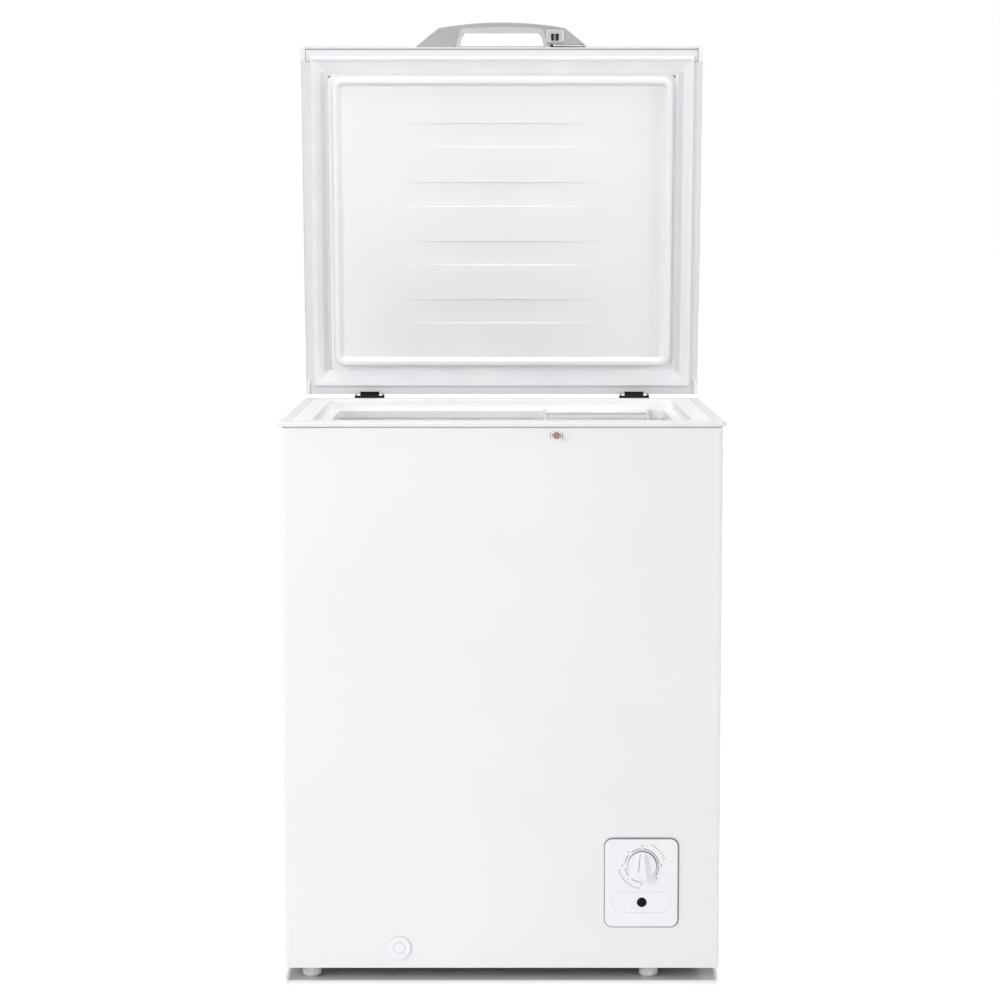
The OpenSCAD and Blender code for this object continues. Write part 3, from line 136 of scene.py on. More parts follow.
# vacuum-formed sheet of lid and collar: 5 mm waviness
lidPlastic = plainFinish("formed lid liner", {
    "colour": "#e7e7e8", "tint": "#e3e3e5", "driftSize": 180, "rough": (0.34, 0.44),
    "grainSize": 5.0, "bump": 0.10, "grainHeight": 0.08})
linerPlastic = plainFinish("formed white liner", {
    "colour": "#eeeeef", "tint": "#ebebed", "driftSize": 180, "rough": (0.34, 0.44),
    "grainSize": 5.0, "bump": 0.10, "grainHeight": 0.08})
# injection-moulded trim: 0.8 mm texture
whiteTrim = plainFinish("moulded white trim", {
    "colour": "#e4e5e7", "tint": "#e1e2e5", "driftSize": 120, "rough": (0.32, 0.40),
    "grainSize": 0.8, "bump": 0.08, "grainHeight": 0.02})
# the rim band's copy of the trim is painted darker: painted shade on the rim's front face
rimTrimShaded = plainFinish("moulded rim trim with painted shade", {
    "colour": "#dcdddf", "tint": "#d9dadc", "driftSize": 120, "rough": (0.32, 0.40),
    "grainSize": 0.8, "bump": 0.08, "grainHeight": 0.02})
# soft gasket: 1.5 mm mottling
gasketVinyl = plainFinish("white gasket vinyl", {
    "colour": "#e3e3e5", "tint": "#dedee1", "driftSize": 60, "rough": (0.50, 0.62),
    "grainSize": 1.5, "bump": 0.15, "grainHeight": 0.05})
# handle: 0.6 mm spark-eroded grain
handleGrey = plainFinish("grey handle plastic", {
    "colour": "#a6a6a7", "tint": "#9f9fa0", "driftSize": 90, "rough": (0.46, 0.56),
    "grainSize": 0.6, "bump": 0.25, "grainHeight": 0.03})
guardGrey = plainFinish("light grey lock case", {
    "colour": "#b8b9ba", "tint": "#b0b1b2", "driftSize": 40, "rough": (0.40, 0.50),
    "grainSize": 0.6, "bump": 0.15, "grainHeight": 0.02})
footGrey = plainFinish("pale foot plastic", {
    "colour": "#d6d7d9", "tint": "#cfd0d2", "driftSize": 30, "rough": (0.50, 0.60),
    "grainSize": 0.6, "bump": 0.2, "grainHeight": 0.03})
# black parts: 0.7 mm moulded grain, 0.9 mm powder coat, 1.2 mm rubber
blackPlastic = plainFinish("black grille plastic", {
    "colour": "#17181a", "tint": "#1d1e20", "driftSize": 60, "rough": (0.42, 0.55),
    "grainSize": 0.7, "bump": 0.3, "grainHeight": 0.03})
blackPowder = plainFinish("black powder coat", {
    "colour": "#0b0b0c", "tint": "#101113", "driftSize": 80, "rough": (0.52, 0.62), "ior": 1.3,
    "grainSize": 0.9, "bump": 0.35, "grainHeight": 0.04})
blackRubber = plainFinish("black mount rubber", {
    "colour": "#0f0f10", "tint": "#18181a", "driftSize": 25, "rough": (0.65, 0.8),
    "grainSize": 1.2, "bump": 0.3, "grainHeight": 0.05})
# dipped coating: 2 mm runs
coatedWire = plainFinish("white coated wire", {
    "colour": "#f1f2f2", "tint": "#e9eaea", "driftSize": 40, "rough": (0.35, 0.45),
    "grainSize": 2.0, "bump": 0.2, "grainHeight": 0.05})
# blown foam: 1.5 mm cells
foamYellow = plainFinish("insulating foam", {
    "colour": "#e6d9a4", "tint": "#d9c98c", "driftSize": 12, "rough": (0.8, 0.95),
    "grainSize": 1.5, "bump": 0.6, "grainHeight": 0.2})
# switch housings: 0.6 mm grain
relayGrey = plainFinish("grey switch plastic", {
    "colour": "#8b8e92", "tint": "#83868a", "driftSize": 30, "rough": (0.45, 0.55),
    "grainSize": 0.6, "bump": 0.2, "grainHeight": 0.02})
# bare and plated metal: 0.5 to 0.8 mm grain, 3 mm draw marks on the copper
platedSteel = plainFinish("bright plated steel", {
    "colour": "#c4c6c8", "tint": "#b5b7ba", "driftSize": 15, "rough": (0.22, 0.34),
    "grainSize": 0.8, "bump": 0.1, "grainHeight": 0.01, "metal": 1.0})
springSteel = plainFinish("oiled spring wire", {
    "colour": "#6f7175", "tint": "#5e6063", "driftSize": 8, "rough": (0.28, 0.4),
    "grainSize": 0.5, "bump": 0.2, "grainHeight": 0.01, "metal": 1.0})
drawnCopper = plainFinish("drawn copper tube", {
    "colour": "#c27b54", "tint": "#9c5f41", "driftSize": 25, "rough": (0.3, 0.45),
    "grainSize": 3.0, "bump": 0.1, "grainHeight": 0.02, "metal": 1.0})
keeperBrass = plainFinish("bronzed keeper", {
    "colour": "#8f6f66", "tint": "#71544e", "driftSize": 6, "rough": (0.3, 0.42),
    "grainSize": 0.6, "bump": 0.1, "grainHeight": 0.01, "metal": 1.0})
# tinted lens: 3 mm flow marks
lampTeal = plainFinish("tinted lamp lens", {
    "colour": "#010c0e", "tint": "#03191c", "driftSize": 6, "rough": (0.10, 0.16), "ior": 1.16,
    "grainSize": 3.0, "bump": 0.05, "grainHeight": 0.02})
# screen-printed ink: 0.3 to 0.4 mm screen; the faint grey is painted shade
printGrey = plainFinish("dial print ink", {
    "colour": "#5f5a5a", "tint": "#6d6868", "driftSize": 3, "rough": (0.5, 0.6),
    "grainSize": 0.3, "bump": 0.1, "grainHeight": 0.01})
# painted shade for the edge of the recess round the lamp
pillRecessShade = plainFinish("faint painted recess shade", {
    "colour": "#d3d4d5", "tint": "#cbcccd", "driftSize": 8, "rough": (0.45, 0.55),
    "grainSize": 0.4, "bump": 0.1, "grainHeight": 0.01})
# painted shade for joints, edges, creases and gaps that lie in shade: 0.6 mm grain, 1.2 mm on the gasket
seamGrey = plainFinish("shaded panel joint", {
    "colour": "#74787c", "tint": "#6b6f74", "driftSize": 20, "rough": (0.6, 0.7),
    "grainSize": 0.6, "bump": 0.1, "grainHeight": 0.02})
edgeShade = plainFinish("shaded lid edge", {
    "colour": "#94959a", "tint": "#8d8e93", "driftSize": 60, "rough": (0.6, 0.7),
    "grainSize": 0.6, "bump": 0.1, "grainHeight": 0.02})
softShade = plainFinish("soft joint shade", {
    "colour": "#cbccd0", "tint": "#c4c5c9", "driftSize": 60, "rough": (0.55, 0.65),
    "grainSize": 0.6, "bump": 0.1, "grainHeight": 0.02})
# painted shade on the gasket's thin inner flap
flapShade = plainFinish("painted gasket flap shade", {
    "colour": "#d2d2d5", "tint": "#cdcdd0", "driftSize": 40, "rough": (0.55, 0.65),
    "grainSize": 1.2, "bump": 0.12, "grainHeight": 0.04})
# lock and handle trims: 0.6 mm grain
# painted highlight for the lock window's frame
windowFrameHighlight = plainFinish("painted window frame highlight", {
    "colour": "#d0d1d2", "tint": "#cacbcc", "driftSize": 40, "rough": (0.36, 0.46),
    "grainSize": 0.6, "bump": 0.15, "grainHeight": 0.02})
lockShade = plainFinish("dark lock body", {
    "colour": "#8f9092", "tint": "#858688", "driftSize": 20, "rough": (0.45, 0.55),
    "grainSize": 0.6, "bump": 0.15, "grainHeight": 0.02})
# painted highlight for the handle's bevel
handleBevelHighlight = plainFinish("painted handle bevel highlight", {
    "colour": "#bfbfc0", "tint": "#b9b9ba", "driftSize": 60, "rough": (0.42, 0.5),
    "grainSize": 0.6, "bump": 0.2, "grainHeight": 0.03})


# zinc-coated sheet with spangles about 12 mm across
def galvanisedSheet():
    material, tree = newMaterial("zinc-coated sheet")
    place = addNode(tree, "TexCoord")
    spangle = addNode(tree, "TexVoronoi", {"Scale": 1 / (12 * mm)}, {"Vector": (place, "Object")})
    tint = addNode(tree, "ValToRGB", links={"Fac": (spangle, "Color")})
    tint.color_ramp.elements[0].color = linear("#a6a9ad")
    tint.color_ramp.elements[1].color = linear("#c3c6c9")
    rough = addNode(tree, "MapRange", {"To Min": 0.32, "To Max": 0.5}, {"Value": (spangle, "Color")})
    shader = addNode(tree, "BsdfPrincipled", {"Metallic": 0.9},
                     {"Base Color": (tint, "Color"), "Roughness": (rough, "Result")})
    finishMaterial(tree, shader)
    return material


# stucco-embossed aluminium: pillows about 5 mm across, 0.3 mm deep
def stuccoAluminium():
    material, tree = newMaterial("stucco embossed aluminium")
    place = addNode(tree, "TexCoord")
    warp = addNode(tree, "TexNoise", {"Scale": 1 / (9 * mm), "Detail": 2.0}, {"Vector": (place, "Object")})
    mixed = addNode(tree, "VectorMath", {"operation": "MULTIPLY_ADD", 1: (0.004, 0.004, 0.004)},
                    {0: (warp, "Color"), 2: (place, "Object")})
    pillow = addNode(tree, "TexVoronoi", {"Scale": 1 / (5 * mm), "feature": "SMOOTH_F1"},
                     {"Vector": (mixed, "Vector")})
    bump = addNode(tree, "Bump", {"Strength": 0.7, "Distance": 0.3 * mm, "invert": True},
                   {"Height": (pillow, "Distance")})
    rough = addNode(tree, "MapRange", {"To Min": 0.3, "To Max": 0.42}, {"Value": (warp, "Fac")})
    shader = addNode(tree, "BsdfPrincipled", {"Metallic": 1.0, "Base Color": linear("#d3d5d8")},
                     {"Roughness": (rough, "Result"), "Normal": (bump, "Normal")})
    finishMaterial(tree, shader)
    return material


zincSheet = galvanisedSheet()
tankAluminium = stuccoAluminium()

finishes = {
    "outer_wrapper": whiteEnamel, "lid_skin": lidEnamelShaded,
    "back_panel": zincSheet, "base_pan": zincSheet, "compartment_lining": zincSheet,
    "rear_grille": blackPlastic, "cord_inlet": blackRubber, "cabinet_screws": platedSteel,
    "cabinet_foam": foamYellow, "lid_foam": foamYellow, "inner_tank": tankAluminium,
    "top_collar": linerPlastic, "rim_band": rimTrimShaded, "lid_liner": lidPlastic, "lid_gasket": gasketVinyl,
    "lid_corner_caps": whiteTrim, "lid_handle": handleGrey, "lock_case": guardGrey,
    "control_panel": whiteTrim, "control_knob": whiteTrim, "thermostat": relayGrey,
    "indicator_lens": lampTeal, "indicator_lamp": relayGrey,
    "drain_tube": relayGrey, "drain_cap": whiteTrim, "drain_plug": whiteTrim,
    "lock_keeper": keeperBrass, "lock_cylinder": springSteel, "lock_hook": platedSteel,
    "hinge_bracket_left": blackPowder, "hinge_bracket_right": blackPowder,
    "hinge_leaf_left": blackPowder, "hinge_leaf_right": blackPowder,
    "hinge_pin_left": blackPowder, "hinge_pin_right": blackPowder,
    "hinge_spring_left": springSteel, "hinge_spring_right": springSteel,
    "hinge_plunger_left": relayGrey, "hinge_plunger_right": relayGrey,
    "lid_screws": platedSteel, "compressor": blackPowder, "compressor_mounts": blackRubber,
    "starting_relay": blackPlastic, "suction_line": drawnCopper, "discharge_line": drawnCopper,
    "filter_dryer": drawnCopper, "evaporator_coil": drawnCopper, "condenser_coil": drawnCopper,
    "rear_feet": blackPlastic, "front_foot_left": footGrey, "front_foot_right": footGrey,
    "basket_frame": coatedWire, "basket_front": coatedWire, "basket_back": coatedWire,
    "basket_left": coatedWire, "basket_right": coatedWire, "basket_floor": coatedWire,
}
for nodeName, piece in nodes.items():
    if not piece.material_slots:
        piece.data.materials.append(None)
    for socket in piece.material_slots:
        socket.material = finishes[nodeName]
print("finishes on", len(finishes), "pieces")


# turns a bmesh into an object that rides on a body
def placePiece(name, shape, material, body, smooth=False):
    mesh = bpy.data.meshes.new(name)
    shape.to_mesh(mesh)
    shape.free()
    for face in mesh.polygons:
        face.use_smooth = smooth
    mesh.materials.append(material)
    made = bpy.data.objects.new(name, mesh)
    scene.collection.objects.link(made)
    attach(made, body)
    return made


inkThick = 0.06 * mm  # of what is printed
lineThick = 0.12 * mm  # of what shows a joint
quarterTurn = Matrix.Rotation(math.radians(90), 3, "X")


# gives everything flat in the shape that thickness, upwards
def thicken(shape, thickness):
    pushed = bmesh.ops.extrude_face_region(shape, geom=shape.faces[:])["geom"]
    bmesh.ops.translate(shape, vec=(0, 0, thickness), verts=[g for g in pushed if isinstance(g, bmesh.types.BMVert)])
    bmesh.ops.recalc_face_normals(shape, faces=shape.faces[:])


# bends the outline of a flat plate's corners and keeps it a single face
def roundedPlate(shape, width, height, radius, steps=8):
    corners = bmesh.ops.create_grid(shape, x_segments=1, y_segments=1, size=0.5)["verts"]
    bmesh.ops.scale(shape, vec=(width, height, 1), verts=corners)
    bmesh.ops.bevel(shape, geom=corners, offset=radius, offset_type="OFFSET", affect="VERTICES",
                    segments=steps, profile=0.5, material=-1)
    return shape


# leaves only a rim of the plate, of that width, and gives it thickness; the hole may stand off-centre
def rimOnly(shape, rimWidth, thickness, shift=0.0):
    face = max(shape.faces, key=lambda f: f.calc_area())
    bmesh.ops.inset_region(shape, faces=[face], thickness=rimWidth, use_even_offset=True, use_boundary=True)
    bmesh.ops.translate(shape, vec=(-shift, -shift, 0), verts=face.verts[:])
    bmesh.ops.delete(shape, geom=[face], context="FACES")
    thicken(shape, thickness)
    return shape


# stands a flat shape up against the freezer's front, facing the room
def ontoFront(shape, x, y, z):
    bmesh.ops.rotate(shape, cent=(0, 0, 0), matrix=quarterTurn, verts=shape.verts[:])
    bmesh.ops.translate(shape, vec=(x, y, z), verts=shape.verts[:])
    return shape


# a block turned by that angle, in degrees, about an axis through its middle, which then goes to place
def addBlock(shape, size, angle, axis, place):
    made = bmesh.ops.create_cube(shape, size=1)["verts"]
    bmesh.ops.scale(shape, vec=size, verts=made)
    bmesh.ops.rotate(shape, cent=(0, 0, 0), matrix=Matrix.Rotation(math.radians(angle), 3, axis), verts=made)
    bmesh.ops.translate(shape, vec=place, verts=made)


knobLow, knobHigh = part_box("control_knob")
panelLow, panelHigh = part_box("control_panel")
lensLow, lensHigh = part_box("indicator_lens")
panelFace = panelLow.y
panelX = (panelLow.x + panelHigh.x) / 2
knobX = (knobLow.x + knobHigh.x) / 2
knobZ = (knobLow.z + knobHigh.z) / 2
lensZ = (lensLow.z + lensHigh.z) / 2

# the joint round the control panel shows as a fine dark line, heavier above and at the right, where the extra width is
# painted shade
panelJoint = {"width": 107.6 * mm, "height": 130.6 * mm, "line": 1.8 * mm, "shift": 0.55 * mm, "radius": 12.5 * mm,
              "x": 199.2 * mm, "z": 142.7 * mm}
jointShape = roundedPlate(bmesh.new(), panelJoint["width"], panelJoint["height"], panelJoint["radius"])
rimOnly(jointShape, panelJoint["line"], lineThick, panelJoint["shift"])
ontoFront(jointShape, panelJoint["x"], panelFace, panelJoint["z"])
placePiece("panel_joint", jointShape, seamGrey, "cabinet")

# faint painted shade along the edge of a pill-shaped recess round the lamp
pill = {"width": 85 * mm, "height": 31 * mm, "line": 0.9 * mm, "radius": 15.4 * mm, "steps": 16}
pillShape = roundedPlate(bmesh.new(), pill["width"], pill["height"], pill["radius"], pill["steps"])
rimOnly(pillShape, pill["line"], inkThick)
ontoFront(pillShape, panelX, panelFace, lensZ)
placePiece("lamp_outline", pillShape, pillRecessShade, "cabinet")

# printed dial: a ring broken at the marks, with plain numbers and short graduations round it
dial = {
    "radius": 24.2 * mm, "line": 1.0 * mm, "numberRadius": 28.0 * mm, "numberSize": 4.0 * mm,
    "arcs": [(183, 218), (232, 262), (278, 309), (321, 357), (3, 86), (94, 128)],  # clockwise from the top
    "numbers": [(181, "0"), (225, "1"), (270, "2"), (315, "3"), (0, "4"), (90, "5"), (131, "6")],
    "ticks": [(26, 72, 7), (188, 258, 12)], "tickRadius": 33.0 * mm, "tickLength": 3.0 * mm, "tickWidth": 1.0 * mm,
}


# a flat arc printed on the panel, from one clock angle to another
def printArc(shape, radius, line, start, end):
    first = bmesh.ops.create_vert(shape, co=(0, radius - line / 2, 0))["vert"][0]
    second = bmesh.ops.create_vert(shape, co=(0, radius + line / 2, 0))["vert"][0]
    edge = shape.edges.new((first, second))
    bmesh.ops.rotate(shape, cent=(0, 0, 0), matrix=Matrix.Rotation(-math.radians(start), 3, "Z"),
                     verts=[first, second])
    bmesh.ops.spin(shape, geom=[first, second, edge], cent=(0, 0, 0), axis=(0, 0, -1),
                   angle=math.radians(end - start), steps=max(4, int((end - start) / 3)), dvec=(0, 0, 0))


dialShape = bmesh.new()
for start, end in dial["arcs"]:
    printArc(dialShape, dial["radius"], dial["line"], start, end)
for start, end, count in dial["ticks"]:
    for i in range(count):
        angle = math.radians(start + (end - start) * i / (count - 1))
        made = bmesh.ops.create_grid(dialShape, x_segments=1, y_segments=1, size=0.5)["verts"]
        bmesh.ops.scale(dialShape, vec=(dial["tickWidth"], dial["tickLength"], 1), verts=made)
        bmesh.ops.translate(dialShape, vec=(0, dial["tickRadius"], 0), verts=made)
        bmesh.ops.rotate(dialShape, cent=(0, 0, 0), matrix=Matrix.Rotation(-angle, 3, "Z"), verts=made)
bmesh.ops.remove_doubles(dialShape, verts=dialShape.verts[:], dist=0.001 * mm)
thicken(dialShape, inkThick)
ontoFront(dialShape, knobX, panelFace, knobZ)
placePiece("dial_scale", dialShape, printGrey, "cabinet")


# a plain figure as a mesh, standing on the panel's face
def printFigure(name, figure, size, x, z):
    data = bpy.data.curves.new(name, "FONT")
    data.body = figure
    data.size = size
    data.align_x = "CENTER"
    data.align_y = "CENTER"
    data.extrude = inkThick / 2
    data.offset = 0.08 * mm
    flat = bpy.data.objects.new(name, data)
    scene.collection.objects.link(flat)
    bpy.context.view_layer.update()
    mesh = bpy.data.meshes.new_from_object(flat)
    bpy.data.objects.remove(flat)
    mesh.name = name
    mesh.transform(Matrix.Translation((x, panelFace - inkThick / 2, z)) @ quarterTurn.to_4x4())
    mesh.materials.clear()
    mesh.materials.append(printGrey)
    made = bpy.data.objects.new(name, mesh)
    scene.collection.objects.link(made)
    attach(made, "cabinet")
    return made


for i, (angle, figure) in enumerate(dial["numbers"]):
    turn = math.radians(angle)
    printFigure("dial_number_%d" % i, figure, dial["numberSize"],
                knobX + dial["numberRadius"] * math.sin(turn), knobZ + dial["numberRadius"] * math.cos(turn))
print("control panel printed")

# dark gaps round the knob and the drain cap, wider at the side that lies in the shade
gaps = [
    {"name": "knob_gap", "node": "control_knob", "over": 1.2 * mm, "shift": (0.5 * mm, 0.5 * mm), "y": panelFace,
     "finish": seamGrey, "slot": "grey_plastic"},
    {"name": "drain_cap_gap", "node": "drain_cap", "over": 0.7 * mm, "shift": (0.7 * mm, 0.1 * mm),
     "y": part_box("outer_wrapper")[0].y, "finish": softShade, "slot": "white_paint"},
]
for gap in gaps:
    low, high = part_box(gap["node"])
    gapShape = bmesh.new()
    bmesh.ops.create_circle(gapShape, cap_ends=True, segments=64, radius=(high.x - low.x) / 2 + gap["over"])
    thicken(gapShape, lineThick)
    ontoFront(gapShape, (low.x + high.x) / 2 + gap["shift"][0], gap["y"], (low.z + high.z) / 2 + gap["shift"][1])
    placePiece(gap["name"], gapShape, gap["finish"], "cabinet")

# painted shade in the fine ring pressed into the drain cap's face
capLow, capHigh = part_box("drain_cap")
ringPlan = {"radius": 9.0 * mm, "line": 0.7 * mm}
ringShape = bmesh.new()
bmesh.ops.create_circle(ringShape, cap_ends=True, segments=48, radius=ringPlan["radius"])
rimOnly(ringShape, ringPlan["line"], inkThick)
ontoFront(ringShape, (capLow.x + capHigh.x) / 2, capLow.y, (capLow.z + capHigh.z) / 2)
placePiece("drain_cap_groove_shade", ringShape, softShade, "drain_cap")


# a ribbon between two rows of points, as thick as asked
def addRibbon(shape, outer, inner, thickness):
    rows = []
    for points in (outer, inner):
        row = [shape.verts.new((x, y, 0)) for x, y in points]
        rows += [shape.edges.new(pair) for pair in zip(row, row[1:])]
    bmesh.ops.bridge_loops(shape, edges=rows)
    thicken(shape, thickness)


# the finger grip's shaded flank
flank = {"outer": [(-2.3, 17), (-3.6, 0), (-5.4, -9)], "inner": [(-3.3, 17), (-4.8, 0), (-6.4, -9)],
         "thick": 0.1 * mm, "face": 9 * mm}
flankShape = bmesh.new()
flankRows = [[(x * mm, y * mm) for x, y in flank[key]] for key in ("outer", "inner")]
addRibbon(flankShape, flankRows[0], flankRows[1], flank["thick"])
ontoFront(flankShape, knobX, knobLow.y + flank["face"], knobZ)
placePiece("knob_flank_shade", flankShape, edgeShade, "knob")


# a bar between two corners, its edges broken
def addBar(shape, low, high, broken=0.06 * mm):
    size = [high[i] - low[i] for i in range(3)]
    middle = [(high[i] + low[i]) / 2 for i in range(3)]
    made = bmesh.ops.create_cube(shape, size=1)["verts"]
    bmesh.ops.scale(shape, vec=size, verts=made)
    bmesh.ops.translate(shape, vec=middle, verts=made)
    edges = list({e for v in made for e in v.link_edges})
    bmesh.ops.bevel(shape, geom=edges, offset=broken, offset_type="OFFSET", affect="EDGES",
                    segments=1, profile=0.5, material=-1)


# what is measured on the closed lid, turned open about its hinge
hinge = next(joint for joint in frame["joints"] if joint["name"] == "lid_hinge")
hingePoint = Vector(hinge["pos_m"])
openLid = (Matrix.Translation(hingePoint) @ Matrix.Rotation(-math.radians(hinge["range_deg"][1]), 4, "X")
           @ Matrix.Translation(-hingePoint))
rimLow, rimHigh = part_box("rim_band")
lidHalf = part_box("lid_skin")[1].x
lidPlan = {"front": rimLow.y, "back": rimHigh.y, "under": rimHigh.z + 8 * mm, "border": 13.6 * mm}


def ontoLid(shape):
    bmesh.ops.transform(shape, matrix=openLid, verts=shape.verts[:])
    return shape


# shaded edges of the lid's border: dark along its front, softer at the sides and round the gasket
capLines = {"width": 7 * mm, "length": 22 * mm, "line": 0.8 * mm, "proud": 0.92 * mm, "turn": 6 * mm}
lidLines = {"front": 1.9 * mm, "frontInset": 1.8 * mm, "side": 1.3 * mm, "back": 0.9 * mm, "gasket": 1.8 * mm,
            "margin": 0.2 * mm}
under, betweenCaps = lidPlan["under"], lidHalf - capLines["width"]
frontLine = lidPlan["front"] + lidLines["frontInset"]
backLine = lidPlan["back"] - lidLines["margin"]
edgeShape = bmesh.new()
addBar(edgeShape, (-betweenCaps, frontLine, under - lineThick),
       (betweenCaps, frontLine + lidLines["front"], under))
placePiece("lid_edge_front", ontoLid(edgeShape), edgeShade, "lid")
sideShape = bmesh.new()
for side in (-1, 1):
    outer, inner = side * (lidHalf - lidLines["margin"]), side * (lidHalf - lidLines["side"])
    addBar(sideShape, (min(outer, inner), lidPlan["front"] + capLines["length"], under - lineThick),
           (max(outer, inner), lidPlan["back"] - capLines["length"], under))
addBar(sideShape, (-betweenCaps, backLine - lidLines["back"], under - lineThick), (betweenCaps, backLine, under))
placePiece("lid_edge_lines", ontoLid(sideShape), softShade, "lid")

# painted shade along the crease of the front gasket's bead and along the back gasket's edge, and painted shade where
# its thin inner flap lies
crease = {"out": 5.4 * mm, "drop": 7.6 * mm, "thick": 0.1 * mm, "flap": 8 * mm, "flapOut": 20 * mm,
          "flapDrop": 4.4 * mm, "slope": 14}
creaseShape = bmesh.new()
gasketHalf = lidHalf - lidPlan["border"]
creaseY = lidPlan["front"] + lidPlan["border"] + crease["out"]
addBar(creaseShape, (-gasketHalf + crease["out"], creaseY, under - crease["drop"] - crease["thick"]),
       (gasketHalf - crease["out"], creaseY + lidLines["gasket"], under - crease["drop"]))
backY = lidPlan["back"] - lidPlan["border"]
addBar(creaseShape, (-gasketHalf, backY, under - lineThick), (gasketHalf, backY + lidLines["back"], under))
placePiece("gasket_crease_shade", ontoLid(creaseShape), softShade, "lid")
flapShape = bmesh.new()
flapLength = lidPlan["back"] - lidPlan["front"] - 2 * (lidPlan["border"] + crease["flapOut"] + crease["flap"] / 2)
for side in (-1, 1):
    addBlock(flapShape, (crease["flap"], flapLength, lineThick), side * crease["slope"], "Y",
             (side * (gasketHalf - crease["flapOut"]), (lidPlan["front"] + lidPlan["back"]) / 2,
              under - crease["flapDrop"] - lineThick))
placePiece("gasket_flap_shade", ontoLid(flapShape), flapShade, "lid")

# joints of the corner caps with the lid, and the notches where the gasket's mitres end
capShape = bmesh.new()
for side in (-1, 1):
    edge = side * betweenCaps
    for start in (lidPlan["front"], lidPlan["back"] - capLines["length"]):
        addBar(capShape, (edge - capLines["line"] / 2, start, under - capLines["proud"]),
               (edge + capLines["line"] / 2, start + capLines["length"], under))
    inward, turn = edge - side * capLines["turn"], lidPlan["front"] + capLines["length"]
    addBar(capShape, (min(edge, inward), turn - capLines["line"], under - capLines["proud"]),
           (max(edge, inward), turn, under))
placePiece("corner_cap_joints", ontoLid(capShape), edgeShade, "lid")
notchPlan = {"side": 44.0 * mm, "front": 45.0 * mm, "back": 39.0 * mm, "size": (5.0 * mm, 1.9 * mm, 0.6 * mm),
             "depth": 0.5 * mm}
notchShape = bmesh.new()
for side in (-1, 1):
    for y, lean in ((lidPlan["front"] + notchPlan["front"], 45), (lidPlan["back"] - notchPlan["back"], -45)):
        addBlock(notchShape, notchPlan["size"], side * lean, "Z",
                 (side * (lidHalf - notchPlan["side"]), y, under - notchPlan["depth"]))
placePiece("gasket_corner_notches", ontoLid(notchShape), seamGrey, "lid")

# painted highlight on the bevelled border round the handle's opening, measured in mm from the lid's middle and front
# edge
bevel = {
    "outer": [(-72.5, 0.4), (-66.5, 20), (-64.8, 26), (-61.5, 29), (-50, 29.9), (-25, 30.8), (0, 31.1)],
    "inner": [(-66.9, 0.4), (-62.3, 16.5), (-61.3, 19.5), (-59.4, 21.4), (-50, 22), (-25, 22), (0, 22)],
    "face": 8 * mm, "proud": 0.15 * mm, "caseProud": 1 * mm,
}
bevelShape = bmesh.new()
rows = []
for key in ("outer", "inner"):
    left = bevel[key]
    rows.append([(x * mm, -y * mm) for x, y in left + [(-x, y) for x, y in left[-2::-1]]])
addRibbon(bevelShape, rows[0], rows[1], bevel["proud"])
handleUnder = under + bevel["face"]
bmesh.ops.translate(bevelShape, vec=(0, lidPlan["front"], handleUnder - bevel["proud"]), verts=bevelShape.verts[:])
placePiece("handle_bevel_highlight", ontoLid(bevelShape), handleBevelHighlight, "lid")
caseUnder = handleUnder - bevel["caseProud"]

# painted highlight along the frame round the lock's window, its dark sill, and two stud heads under the handle: left,
# right, low and high
# edges of the bars in mm
lockPlan = {
    "frame": [(69.0, 97.0, 25.1, 26.6), (69.0, 70.5, 10.2, 25.1), (94.0, 97.0, 10.2, 25.1)], "frameProud": 0.25 * mm,
    "sill": [(71.0, 95.5, 4.6, 7.9)], "sillProud": 0.3 * mm, "sillBroken": 0.12 * mm,
}


def lockBars(shape, bars, proud, *broken):
    for left, right, low, high in bars:
        addBar(shape, (left * mm, lidPlan["front"] - high * mm, caseUnder - proud),
               (right * mm, lidPlan["front"] - low * mm, caseUnder), *broken)
    return ontoLid(shape)


frameShape = lockBars(bmesh.new(), lockPlan["frame"], lockPlan["frameProud"])
placePiece("lock_window_highlight", frameShape, windowFrameHighlight, "lid")
sillShape = lockBars(bmesh.new(), lockPlan["sill"], lockPlan["sillProud"], lockPlan["sillBroken"])
placePiece("lock_sill", sillShape, lockShade, "lid")
stud = {"places": (-95.9 * mm, -74.5 * mm), "root": 1.7 * mm, "tip": 1.4 * mm, "height": 1.4 * mm,
        "out": 0.6 * mm, "up": 3.4 * mm}
studShape = bmesh.new()
for x in stud["places"]:
    made = bmesh.ops.create_cone(studShape, cap_ends=True, segments=16, radius1=stud["root"], radius2=stud["tip"],
                                 depth=stud["height"])["verts"]
    bmesh.ops.rotate(studShape, cent=(0, 0, 0), matrix=quarterTurn, verts=made)
    bmesh.ops.translate(studShape, vec=(x, lidPlan["front"] - stud["out"], under + stud["up"]), verts=made)
placePiece("handle_studs", ontoLid(studShape), lockShade, "lid")

# fine joints on the rim: where band and collar meet, and the mitres of its back corners
collarLow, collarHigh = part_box("top_collar")
seamPlan = {"line": 0.9 * mm, "proud": 0.1 * mm, "mitre": 20 * mm, "out": 7 * mm}
seamHalf, seamTop = seamPlan["line"] / 2, rimHigh.z + seamPlan["proud"]
seamShape = bmesh.new()
for x in (collarLow.x, collarHigh.x):
    side = 1 if x > 0 else -1
    addBar(seamShape, (x - seamHalf, collarLow.y, rimHigh.z), (x + seamHalf, collarHigh.y, seamTop))
    addBlock(seamShape, (seamPlan["mitre"], seamPlan["line"], seamPlan["proud"]), side * 45, "Z",
             (x + side * seamPlan["out"], collarHigh.y + seamPlan["out"], rimHigh.z + seamPlan["proud"] / 2))
for y in (collarLow.y, collarHigh.y):
    addBar(seamShape, (collarLow.x, y - seamHalf, rimHigh.z), (collarHigh.x, y + seamHalf, seamTop))
placePiece("rim_joints", seamShape, softShade, "cabinet")

